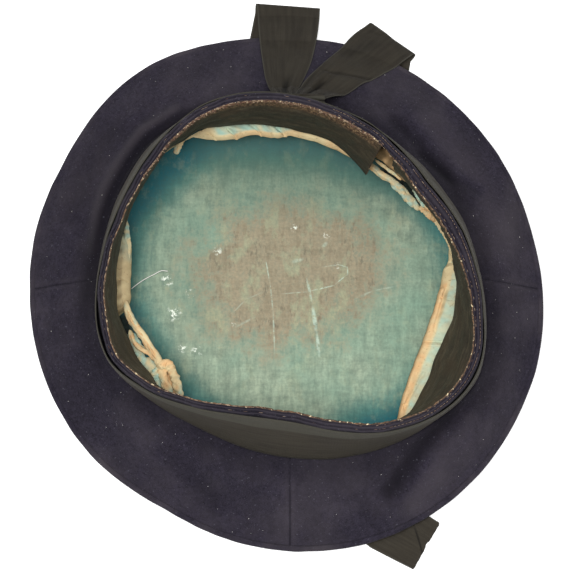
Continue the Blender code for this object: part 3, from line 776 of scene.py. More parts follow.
def gap_shade_finish():
    """The side's lining, seen only in deep gaps: painted dark as shade."""
    made, tree, shader = new_finish("gap shade cotton", srgb(26, 36, 36), Roughness=0.95, Specular_IOR_Level=0.1)
    at = places(tree)
    cloth = blend(tree, level(tree, speckle(tree, at, 60.0, 4.0, 0.6), 0.35, 0.7), srgb(16, 22, 22),
                  srgb(34, 50, 50))
    connect(tree, shader, Base_Color=cloth, Normal=relief(tree, weave(tree, at, 0.55 * MM), 0.1 * MM, 0.5))
    return made


def thread_finish():
    """Cotton thread, each stitch with its own tone from pale to rust."""
    own = settings("cap_stitch")
    made, tree, shader = new_finish("thread", own.thread, Roughness=0.8)
    tone = add(tree, "ShaderNodeAttribute", attribute_name="tone").outputs["Fac"]
    ply = speckle(tree, places(tree), 2400.0, 2.0, 0.6)
    colour = blend(tree, tone, own.thread, own.rust)
    shaded = blend(tree, level(tree, ply, 0.35, 0.7, 0.5, 0.0), colour, srgb(60, 40, 28))
    connect(tree, shader, Base_Color=shaded, Normal=relief(tree, ply, 0.1 * MM, 0.7))
    return made


def lint_finish():
    made, tree, shader = new_finish("lint", srgb(190, 188, 184), Roughness=0.9)
    tone = add(tree, "ShaderNodeAttribute", attribute_name="tone").outputs["Fac"]
    connect(tree, shader, Base_Color=blend(tree, tone, srgb(214, 212, 206), srgb(110, 108, 112)))
    return made


def finish_of(name, make):
    """The material of that name, made the first time it is asked for."""
    return bpy.data.materials.get(name) or make()


# Wool: crown, rim and side

CROWN_TURN = 17.0 * MM
CROWN_WALL = 2.0 * MM
WELT_Z = 5.0 * MM
# How far the side's inner edge runs in under the band
SEAT = 3.0 * MM


def crown_underside():
    """Heights of the crown's outer face, with the hollows that the ribbon's tails press into it."""
    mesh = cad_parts["crown_disc"].data
    tree = BVHTree.FromPolygons([v.co[:] for v in mesh.vertices], [p.vertices[:] for p in mesh.polygons])

    def read(x, y):
        hit = tree.ray_cast(Vector((x, y, -0.01)), Vector((0.0, 0.0, 1.0)))[0]
        return hit.z if hit else 0.0

    return read


class CrownBuild(bpy.types.Operator):
    """Build the crown: a flat wool disc whose edge turns up to the rim seam"""
    bl_idname = "sailor_cap.crown"
    bl_label = "Crown"

    def execute(self, context):
        degrees = np.arange(0.0, 360.0, 1.25)
        shares = np.concatenate([np.linspace(0.008, 0.86, 62), np.linspace(0.875, 1.0, 16)])
        edge = RIM(degrees) - settings("cap_wool").welt_radius
        radius = edge[None] * shares[:, None]
        low = polar(degrees[None], radius, 0.0)
        read = crown_underside()
        pressed = np.array([[read(*place[:2]) if t < 0.88 else 0.0 for place in row]
                            for t, row in zip(shares, low)])
        turned = np.clip((radius - edge + CROWN_TURN) / CROWN_TURN, 0.0, 1.0)
        soft = 0.12 * MM * (1.0 + waves(low[..., 0], low[..., 1], 30 * MM, 3)) * smooth(turned * 4.0)
        low[..., 2] = np.minimum(pressed, 1.4 * MM) + (WELT_Z - 1.2 * MM) * turned ** 2 + soft * (1 - turned)
        high = low.copy()
        flat_top = CROWN_WALL + 0.5 * MM + (WELT_Z - 1.2 * MM) * turned ** 2
        high[..., 2] = np.maximum(low[..., 2] + 0.6 * MM, flat_top)
        high = high[::-1][1:]
        points = np.concatenate([low, high])
        mesh = cap_rows(grid_mesh("crown_cloth", points, around=True), *points.shape[:2])
        piece("crown_cloth", mesh, finish_of("navy wool", wool_finish), "navy_wool", "crown_disc")
        return {"FINISHED"}


class RimBuild(bpy.types.Operator):
    """Build the rolled seam round the rim"""
    bl_idname = "sailor_cap.rim"
    bl_label = "Rim welt"

    def execute(self, context):
        own = settings("cap_wool")
        degrees = np.arange(0.0, 360.0, 0.6)
        turn = np.radians(np.arange(0.0, 360.0, 22.5))[:, None]
        radius = own.welt_radius
        middle = RIM(degrees)[None] - radius
        along = middle * np.radians(degrees)
        swell = 1.0 + 0.05 * waves(along, np.zeros_like(along), 14 * MM, 11)
        lift = 0.18 * MM * waves(along, np.zeros_like(along), 45 * MM, 12)
        points = polar(degrees[None], middle + radius * swell * np.cos(turn),
                       WELT_Z + lift + radius * swell * np.sin(turn))
        mesh = outwards(grid_mesh("rim_roll", points, True, True, lengths_uv(points, True, True)))
        finish = finish_of("rim wool", lambda: wool_finish("rim wool", 0.75))
        piece("rim_roll", mesh, finish, "navy_wool", "rim_welt")
        return {"FINISHED"}


def quarter_angles(first):
    """Angles across a quarter of the side, closer together beside its seams."""
    near = np.degrees(np.array([0.04, 0.3, 0.6, 1.0, 1.5, 2.2, 3.2]) * MM / 0.12)
    middle = np.linspace(near[-1], 90.0 - near[-1], 140)[1:-1]
    return first + np.concatenate([near, middle, (90.0 - near)[::-1]])


def side_points(degrees, first):
    """A grid of points round the section of one quarter of the side, closed over its rows."""
    own = settings("cap_wool")
    rim_end = RIM(degrees) - own.welt_strip
    seat_end = FOOT(degrees) - SEAT
    slope_end = FOOT(degrees) + 1.2 * MM
    ways = np.linspace(0.0, 1.0, 44)[:, None]
    upper = np.concatenate([seat_end[None], mix(slope_end, rim_end - 0.35 * MM, ways)])
    x, y = in_plan(degrees, upper)
    height = side_height(degrees[None], upper)
    height[0] = height[1]
    t = np.clip((rim_end[None] - upper) / (rim_end - slope_end), 0.0, 1.0)
    loose = smooth(t * 5.0) * smooth((1.0 - t) * 5.0)
    height += 0.22 * MM * waves(x, y, 34 * MM, 21) * loose
    height += 0.10 * MM * waves(x, y, 13 * MM, 22) * loose
    height += 0.25 * MM * (1.0 - smooth(t * 6.0))
    apart = np.minimum(degrees - first, first + 90.0 - degrees)
    drawn = np.exp(-(np.radians(apart) * upper / (0.9 * MM)) ** 1.6)
    pucker = 1.0 + 0.25 * waves(upper, np.zeros_like(upper), 7 * MM, 23)
    height -= own.seam_drop * drawn * pucker
    height -= 0.5 * MM * np.exp(-(np.radians(apart) * upper / (5 * MM)) ** 2) * loose
    roll = [(0.2, 0.12), (0.35, 0.45), (0.35, 0.85)]
    rolled_r = [upper[-1] + a * MM for a, _ in roll]
    rolled_z = [height[-1] - b * MM for _, b in roll]
    back = upper[::-3]
    thin = mix(own.wall, 0.9 * MM, np.clip((back - slope_end) / (rim_end - slope_end), 0.0, 1.0) ** 3)
    under_z = height[::-3] - thin
    last_z = height[0] - own.wall
    radius = np.concatenate([upper, rolled_r, back[1:], [seat_end]])
    z = np.concatenate([height, rolled_z, under_z[1:], [last_z]])
    return polar(degrees[None], radius, z)


def side_wear_and_painted_light(points, degrees, first):
    """The side's tones: ridges paler as wear and as painted highlight, a painted highlight beside each seam,
    and painted shade in the valleys, the seams and along the band's foot.
    """
    fold = folds(points[..., 0], points[..., 1], SIDE_FOLDS) / MM
    apart = np.minimum(degrees - first, first + 90.0 - degrees)
    away = np.radians(apart) * np.hypot(points[..., 0], points[..., 1]) / MM
    # Painted shade down each seam's pinch, with a painted highlight on either side of it
    seam = 0.42 * np.exp(-(away / 0.45) ** 2)
    beside = 0.12 * np.exp(-((away - 1.8) / 0.9) ** 2)
    # Painted shade along the band's foot, strongest at the left
    off = (np.hypot(points[..., 0], points[..., 1]) - FOOT(degrees)) / MM
    left = smooth((degrees - 100.0) / 20.0) * smooth((200.0 - degrees) / 20.0)
    foot = (0.35 + 0.45 * left) * np.exp(-(np.clip(off - 5.0, 0.0, None) / 7.0) ** 2)
    # Red: ridges paler as wear and as painted highlight; green: painted shade
    pale = np.clip(0.22 * fold + beside, 0.0, 0.55)
    dark = np.clip(np.maximum(-0.2 * fold, np.maximum(seam, foot)), 0.0, 0.9)
    return np.stack([pale, dark, 0.0 * dark], -1)


class SideBuild(bpy.types.Operator):
    """Build the four quarters of the sloping side, drawn down at their seams"""
    bl_idname = "sailor_cap.side"
    bl_label = "Side"

    def execute(self, context):
        for quarter, node in enumerate(PANELS):
            first = 90.0 * quarter
            degrees = quarter_angles(first)
            points = side_points(degrees, first)
            name = node.replace("side_panel", "wool_side")
            mesh = grid_mesh(name, points, section=True)
            paint(mesh, "tone", side_wear_and_painted_light(points, degrees, first))
            cap_ends(mesh, *points.shape[:2])
            piece(name, mesh, finish_of("navy wool", wool_finish), "navy_wool", node)
        return {"FINISHED"}


# The band: straight lean from foot to edge, with a folded edge on top

BAND_WALL = 3.0 * MM
BAND_UPRIGHT = 1.2 * MM
# Heights of the rows of points on the band's outer face, and then of those on its inner face, in millimetres
OUTER_ROWS = (0.0, 1.2, 6.0, 12.0, 18.0, 24.0, 30.0)
INNER_ROWS = (34.0, 26.0, 18.0, 10.0, 1.2, 0.0)
# Folded edge: (out from the band's outer face, up from its top), in millimetres, from outside to inside
EDGE_SECTION = (
    (0.05, -7.0), (0.12, -4.0), (0.2, -2.4), (0.2, -1.3), (0.02, -0.55), (-0.35, -0.12), (-0.75, 0.0),
    (-1.1, -0.16), (-1.25, -0.42), (-1.4, -0.14), (-1.75, 0.12), (-2.4, 0.22), (-3.05, 0.12), (-3.4, -0.14),
    (-3.55, -0.4), (-3.7, -0.2), (-4.05, -0.2), (-4.4, -0.6), (-4.5, -1.3), (-4.35, -2.6), (-3.6, -4.6),
)
# The section's ridges, painted pale as rubbed wear and as painted highlight, and its grooves, painted dark as
# shade, by how far out they lie
EDGE_RIDGES = (-0.35, -2.4, -4.05)
EDGE_GROOVES = (-1.25, -3.55, -4.5)
# The folded edge round the cap: angle, how far out it lies from the frame's, and its width, in millimetres
EDGE_TABLE = (
    (0, -0.3, 6.2), (10, 0.0, 7.2), (20, -0.8, 6.8), (30, -1.4, 6.4), (40, -1.0, 5.8), (50, -0.3, 4.8),
    (60, 0.0, 4.4), (75, 0.0, 4.4), (90, -0.2, 4.6), (100, -0.3, 4.6), (110, -0.1, 4.6), (120, 0.0, 4.4),
    (130, 0.0, 4.2), (140, 0.0, 3.8), (150, 0.0, 3.4), (160, 0.0, 3.3), (170, 0.2, 3.2), (180, 0.3, 3.1),
    (200, 0.2, 3.1), (210, 0.7, 3.2), (220, 0.3, 3.2), (230, 0.7, 3.4), (240, 1.5, 3.6), (250, 1.6, 3.9),
    (260, 1.9, 4.2), (270, 1.9, 4.4), (280, 1.5, 4.7), (290, 1.5, 4.7), (300, 0.9, 4.6), (310, 0.0, 4.2),
    (320, -0.5, 4.1), (330, -0.9, 4.6), (340, -1.1, 5.0), (350, -0.5, 5.7),
)
EDGE_OUT = ring_through([row[:2] for row in EDGE_TABLE])
EDGE_WIDTH = ring_through([(row[0], row[2]) for row in EDGE_TABLE])
# Where the section's inner part begins, which takes up the width, and its width as drawn, in millimetres
INNER_PART = -1.4
DRAWN_WIDTH = 3.35


def band_face(degrees, height):
    """The radius of the band's outer face at a height above its foot."""
    lean = np.clip(height - BAND_UPRIGHT, 0.0, None) / (EDGE_Z - FOOT_Z - BAND_UPRIGHT)
    return mix(FOOT(degrees), EDGE(degrees) + EDGE_OUT(degrees) * MM, lean)


def edge_stray(degrees):
    """How far the band's edge strays outwards and upwards."""
    share = settings("cap_band").edge_wave
    x, y = in_plan(degrees, 90 * MM)
    return share * waves(x, y, 26 * MM, 31), share * waves(x, y, 38 * MM, 32)


def edge_place(degrees, out, up):
    """A place on the folded edge, by its distance out from the band's face and up from its top."""
    stray_out, stray_up = edge_stray(degrees)
    width = EDGE_WIDTH(degrees) * settings("cap_band").edge_scale
    inner = np.minimum(out - INNER_PART * MM, 0.0)
    stretch = (width - 0.2 + INNER_PART) / DRAWN_WIDTH
    fade = np.exp(up / (9.0 * MM))
    radius = band_face(degrees, EDGE_Z - FOOT_Z + up) + out - inner + inner * stretch + stray_out * fade
    return radius, EDGE_Z + up + stray_up * fade + 0.3 * inner * np.maximum(stretch - 1.0, 0.0)


class BandBuild(bpy.types.Operator):
    """Build the standing band with its folded free edge"""
    bl_idname = "sailor_cap.band"
    bl_label = "Band"

    def execute(self, context):
        degrees = np.arange(0.0, 360.0, 0.5)
        level_ring = np.full_like(degrees, FOOT_Z)
        rows = [(band_face(degrees, up * MM), level_ring + up * MM) for up in OUTER_ROWS]
        rows += [edge_place(degrees, out * MM, up * MM) for out, up in EDGE_SECTION]
        rows += [(band_face(degrees, up * MM) - BAND_WALL, level_ring + up * MM) for up in INNER_ROWS]
        radius = np.stack([row[0] for row in rows])
        height = np.stack([row[1] for row in rows])
        x, y = in_plan(degrees, radius)
        radius = radius + 0.12 * MM * waves(x, y + 3.0 * height, 9 * MM, 33)
        points = polar(degrees[None], radius, height)
        mesh = outwards(grid_mesh("wool_band", points, True, True, lengths_uv(points, True, True)))
        tones = np.zeros((*points.shape[:2], 3))
        # Ridges painted pale as wear and as painted highlight, grooves painted dark as shade
        for number, (out, _) in enumerate(EDGE_SECTION, len(OUTER_ROWS)):
            tones[number, :, 0] = 0.35 * (out in EDGE_RIDGES)
            tones[number, :, 1] = 0.75 * (out in EDGE_GROOVES)
        paint(mesh, "tone", tones)
        finish = finish_of("band wool", lambda: wool_finish("band wool", 0.3, 0.72, 0.69))
        piece("wool_band", mesh, finish, "navy_wool", "head_band")
        return {"FINISHED"}


# Sweatband

SWEAT_START = 51.9
SWEAT_END = 405.0
SWEAT_TOP = 0.35 * MM
FLAP_TURN = 2.3
# Radius of the foot of the end that stands inwards: angle, millimetres
FLAP_FOOT = ((51.9, 70.2), (57, 72.2), (62, 74.2), (67, 76.4), (74, 79.4), (84.6, 81.4), (94, 83.2))


class SweatbandBuild(bpy.types.Operator):
    """Build the oilcloth sweatband, whose cut end stands inwards at the right rear"""
    bl_idname = "sailor_cap.sweatband"
    bl_label = "Sweatband"

    def execute(self, context):
        own = settings("cap_band")
        degrees = np.linspace(SWEAT_START, SWEAT_END, 640)
        ways = np.linspace(0.0, 1.0, 30)[:, None]
        along = 0.09 * np.radians(degrees)
        frayed = 0.22 * MM * waves(along, along * 0.0, 2.6 * MM, 44)
        top_r, top_z = edge_place(degrees, -4.75 * MM + frayed, -SWEAT_TOP - np.abs(frayed))
        bottom_z = FOOT_Z + 2.9 * MM + 0.35 * MM * waves(along, along * 0.0, 24 * MM, 41)
        bottom_r = SWEAT_FOOT(degrees) + own.sweat_wall * 0.5
        curl = 0.5 * MM * waves(along, along * 0.0, 17 * MM, 42)
        flap = smooth(1.0 - (degrees - SWEAT_START) / 16.0)
        bottom_r = bottom_r + curl * (1.0 - flap)
        straight = np.interp(degrees, *np.array(FLAP_FOOT).T) * MM
        bottom_r = mix(bottom_r, straight, smooth((92.0 - degrees) / 10.0))
        bow = 1.1 * MM * np.sin(np.pi * ways)
        bow = bow + 0.35 * MM * waves(along + 0.0 * ways, 60 * MM * ways, 18 * MM, 43)
        radius = mix(bottom_r, top_r, ways ** 0.9) - bow * smooth(ways * 6.0) * smooth((1.0 - ways) * 6.0)
        height = mix(bottom_z, top_z, ways)
        turned = degrees + FLAP_TURN * (1.0 - ways) * np.clip(1.0 - (degrees - SWEAT_START) / 20.0, 0.0, 1.0)
        points = polar(turned, radius, height)
        mesh = outwards(grid_mesh("oilcloth_strip", points, uv=lengths_uv(points)))
        fringe = smooth((ways - 0.8) / 0.08) * smooth((degrees - 50.0) / 8.0)
        fringe = fringe * smooth((152.0 - degrees) / 22.0)
        paint(mesh, "tone", np.stack([fringe, 0.0 * fringe, 0.0 * fringe], -1))
        finishes = [finish_of("dark oilcloth", oilcloth_finish), finish_of("cut edge", cut_edge_finish)]
        made = piece("oilcloth_strip", mesh, finishes, "oilcloth", "sweatband")
        wall(made, own.sweat_wall, 0.0, 1)
        return {"FINISHED"}


# Lining: crown, side and hem

LINING_Z = 3.1 * MM
LINING_END = 13.0 * MM
# Creases of the crown's lining: width and height, then places in plan, in millimetres
LINING_FOLDS = (
    (1.2, -0.35, (8, 12), (12, -8), (17, -40)),
    (5.0, 0.7, (-60, -38), (-30, -62)),
    (4.0, 0.6, (-78, -2), (-70, -34)),
    (5.0, 0.6, (60, -30), (74, 0)),
    (5.0, 0.5, (-30, 62), (20, 66)),
    (4.0, 0.6, (52, 40), (66, 20)),
)


def lining_tones(x, y):
    """Where the crown's lining is still deep teal, where it is painted black as shade in deep gaps, and where
    it is duller and darker towards the rear and the left.
    """
    degrees, radius = np.degrees(np.arctan2(y, x)), np.hypot(x, y) / MM
    deep = np.clip((radius - FADE_EDGE(degrees)) / 26.0 + 0.5, 0.0, 1.0)
    # Painted shade: black where deep gaps open beyond the hem
    gap_shade = np.zeros_like(deep)
    for middle, spread, inner in SHADED_GAPS:
        apart = np.abs((degrees - middle + 180.0) % 360.0 - 180.0)
        gap_shade = np.maximum(gap_shade, smooth((spread - apart) / 4.0 + 0.5) * smooth((radius - inner) / 3.0 + 0.5))
    dull = 0.62 * smooth((y / MM - 28.0) / 46.0) * smooth((x / MM + 66.0) / 34.0)
    dull += 0.2 * smooth((-x / MM - 28.0) / 34.0)
    return np.stack([deep, gap_shade, dull], -1)


class LiningBuild(bpy.types.Operator):
    """Build the teal cotton lining over the crown and under the side"""
    bl_idname = "sailor_cap.lining"
    bl_label = "Lining"

    def execute(self, context):
        cotton = settings("cap_lining").wall
        finish = finish_of("teal cotton", lining_finish)
        degrees = np.arange(0.0, 360.0, 1.0)
        shares = np.linspace(0.004, 1.0, 90)[:, None]
        radius = (RIM(degrees) - LINING_END)[None] * shares
        points = polar(degrees[None], radius, LINING_Z)
        x, y = points[..., 0], points[..., 1]
        points[..., 2] += 0.6 * MM
        points[..., 2] += 0.35 * MM * waves(x, y, 42 * MM, 51) + 0.12 * MM * waves(x, y, 12 * MM, 52)
        points[..., 2] += folds(x, y, LINING_FOLDS)
        mesh = outwards(grid_mesh("cotton_crown", points, around=True), range(len(degrees)))
        facing(mesh, True)
        paint(mesh, "tone", lining_tones(x, y))
        wall(piece("cotton_crown", mesh, finish, "teal_cotton", "lining_crown"), cotton)
        outer, inner = slope_ends(degrees)
        outer = outer - 9.0 * MM
        ways = np.linspace(0.0, 1.0, 18)[:, None]
        radius = mix(outer, inner, ways)
        height = side_height(degrees[None], radius) - 3.4 * MM
        radius = np.concatenate([radius, FOOT(degrees)[None] - SEAT])
        height = np.concatenate([height, height[-1:]])
        points = polar(degrees[None], radius, height)
        mesh = facing(grid_mesh("cotton_side", points, around=True), False)
        # The side's lining is painted dark as the shade of the deep gaps
        finish = finish_of("gap shade cotton", gap_shade_finish)
        wall(piece("cotton_side", mesh, finish, "teal_cotton", "lining_side"), cotton)
        return {"FINISHED"}


# Inner edge of the hem: angle, radius in millimetres
HEM_INNER = (
    (2, 81.6), (5.4, 82.8), (6.4, 85.6), (10, 86.5), (14.3, 87.8), (20, 90.0), (30, 92.0), (48, 92.0),
    (55, 88.0), (60, 78.0), (63, 76.0), (72, 77.2), (86, 80.2), (90, 81.4), (94, 80.2), (98, 81.0),
    (103, 84.0), (106, 84.6), (110, 84.4), (113, 85.6), (116, 87.6), (120, 91.5), (124, 98.0), (130, 104.0),
    (158, 104.0), (162, 99.0), (165, 90.0), (168, 87.0), (172, 85.9), (178, 85.2), (187, 85.7), (190, 88.0),
    (193, 96.0), (196, 101.0), (204, 101.0), (207, 92.0), (212, 90.0), (222, 88.5), (227, 88.0),
    (240, 88.0), (255, 88.0), (270, 89.0), (285, 92.0), (296, 96.0), (305, 96.0), (307.5, 93.8),
    (310, 90.4), (313, 87.2), (316.5, 84.6), (321, 81.9), (326.4, 79.6), (334.2, 78.2), (340.2, 77.6),
    (346, 78.0), (352.7, 79.0), (357, 80.2),
)
# Folds of the hem: width and height, then (angle, distance from the hem's inner edge) along it, in
# millimetres
HEM_FOLDS = (
    (1.5, 1.0, (300, 1.2), (356, 1.2)),
    (0.9, -0.8, (340, 4.6), (347, 3.4), (356, 3.6)),
    (0.9, -1.0, (311, 3.4), (318, 5.6), (324, 7.0)),
    (0.6, -1.2, (310.5, 0.0), (312.5, 5.0)),
    (0.5, -1.4, (334.2, 0.0), (337.0, 10.0)),
    (0.6, 0.8, (332.6, 0.0), (335.4, 10.0)),
    (0.5, -0.8, (353.0, 0.0), (352.4, 7.0)),
    (0.6, -1.4, (6.4, 0.0), (6.6, 8.0)),
    (0.7, 0.8, (4.6, 0.0), (4.8, 8.0)),
    (1.6, 0.9, (64, 1.5), (118, 1.5)),
    (1.3, -1.1, (66, 4.5), (88, 4.8)),
    (1.0, -1.6, (92, 1.0), (97, 8.5)),
    (1.4, 1.2, (96, 0.5), (101, 8.0)),
    (0.9, -1.4, (101, 1.0), (106, 9.0)),
    (1.6, 1.4, (106, 2.0), (114, 8.0)),
    (0.9, -1.3, (110, 0.5), (112, 6.0)),
    (1.0, -1.0, (117, 1.0), (120, 6.0)),
    (2.4, 0.8, (166, 3.2), (190, 3.0)),
    (0.7, -0.8, (181, 0.5), (180, 6.0)),
)
# Tints across the hem: middle angle, half spread, from and to distance in millimetres, strength
PEACH_PLACES = ((318, 12, -1.0, 4.6, 0.85), (334, 16, -1.0, 4.2, 0.65), (352, 7, -1.0, 3.6, 0.9),
                (104, 7, -1.0, 2.6, 0.45), (90, 4, -1.0, 3.0, 0.35), (70, 6, -1.0, 2.4, 0.5))
TEAL_PLACES = ((330, 27, 5.4, 60.0, 0.65), (352, 10, 5.2, 60.0, 0.7), (103, 13, 2.2, 60.0, 0.85),
               (84, 12, 3.6, 60.0, 0.5), (214, 18, -9.0, 60.0, 0.8), (168, 5, -1.0, 60.0, 0.5))
# Brown places: painted shade along the left hem's outer side under the sweatband and at the edge of the hole
# beside it, faint stains over the left hem, and a brown line at the right
BROWN_PLACES = (
    (182, 13, 4.6, 60.0, 0.5), (182, 16, -1.0, 60.0, 0.22), (190, 3, 0.5, 60.0, 0.7),
    (350, 5, 3.6, 5.4, 0.4),
)


def spread_of(degrees, away, rows, patchy):
    """How strongly places of a table show at angles and distances from the hem's inner edge."""
    strength = np.zeros_like(away)
    for middle, spread, low, high, most in rows:
        apart = np.abs((degrees - middle + 180.0) % 360.0 - 180.0)
        side = smooth((spread - apart) / 3.0 + 0.5)
        across = smooth((away / MM - low) / 1.4 + 0.5) * smooth((high - away / MM) / 1.4 + 0.5)
        strength = np.maximum(strength, most * side * across)
    return np.clip(strength * (0.7 + 0.5 * patchy), 0.0, 1.0)[..., None]


def hem_tints(degrees, away):
    """Cream, with peach stains, pale teal where the lining's own cloth shows, and brown places that are
    partly stains and partly painted shade by the sweatband and the hole at the left.
    """
    own = settings("cap_lining")
    cream, peach, teal, brown = (np.array(c[:]) for c in (own.cream, own.peach, srgb(156, 186, 170),
                                                          srgb(98, 80, 52)))
    patchy = 0.5 + 0.5 * waves(degrees * 1.6 * MM, away, 6 * MM, 61)
    colour = mix(cream, peach, spread_of(degrees, away, PEACH_PLACES, patchy))
    colour = mix(colour, teal, spread_of(degrees, away, TEAL_PLACES, patchy))
    return mix(colour, brown, spread_of(degrees, away, BROWN_PLACES, patchy))


class HemBuild(bpy.types.Operator):
    """Build the lining's loose cream edge, creased and bunched below the sweatband"""
    bl_idname = "sailor_cap.hem"
    bl_label = "Hem"

    def execute(self, context):
        degrees = np.arange(0.0, 360.0, 0.3)
        ways = np.concatenate([np.linspace(0.0, 0.5, 34), np.linspace(0.5, 1.0, 14)[1:]])[:, None]
        along = 0.085 * np.radians(degrees)
        root = FOOT(degrees) - 3.4 * MM
        inner = ring_through(HEM_INNER)(degrees) * MM + 0.14 * MM * waves(along, along * 0.0, 9 * MM, 62)
        inner = np.minimum(inner, root - 1.2 * MM)
        radius = mix(inner, root, ways)
        away = radius - inner
        crest = FOOT_Z - 1.2 * MM
        rise = 3.6 * MM * np.exp(-away / (2.2 * MM))
        height = crest - rise - 3.2 * MM * smooth((away - 9 * MM) / (14 * MM))
        height = height - 0.9 * MM * np.exp(-away / (0.5 * MM))
        span = smooth((root - inner) / (9 * MM))
        height = mix(crest - 5.5 * MM, height, span)
        flat_x = degrees * 1.45 * MM + 0.0 * away
        lift = np.zeros_like(away)
        for width, depth, *line in HEM_FOLDS:
            turn = np.mod(degrees - line[0][0] + 90.0, 360.0) - 90.0
            for (a0, d0), (a1, d1) in zip(line[:-1], line[1:]):
                x0, x1 = (a0 - line[0][0]) * 1.45 * MM, (a1 - line[0][0]) * 1.45 * MM
                way = np.array([x1 - x0, (d1 - d0) * MM])
                place = np.stack(np.broadcast_arrays(turn * 1.45 * MM - x0, away - d0 * MM), -1)
                t = np.clip(place @ way / (way @ way), 0.0, 1.0)
                near = np.linalg.norm(place - t[..., None] * way, axis=-1) / (width * MM)
                fold = depth * MM * np.exp(-near ** 2)
                lift = np.where(np.abs(fold) > np.abs(lift), fold, lift)
        lift += 0.1 * MM * waves(flat_x, away, 4 * MM, 63) + 0.3 * MM * waves(flat_x, away, 14 * MM, 64)
        height = height + lift * mix(0.3, 1.0, span)
        points = polar(degrees[None], radius, height)
        mesh = facing(grid_mesh("cotton_hem", points, around=True), True)
        paint(mesh, "tint", hem_tints(np.broadcast_to(degrees, radius.shape), away))
        made = piece("cotton_hem", mesh, finish_of("hem cotton", hem_finish), "cream_hem", "lining_hem")
        wall(made, settings("cap_lining").wall)
        return {"FINISHED"}


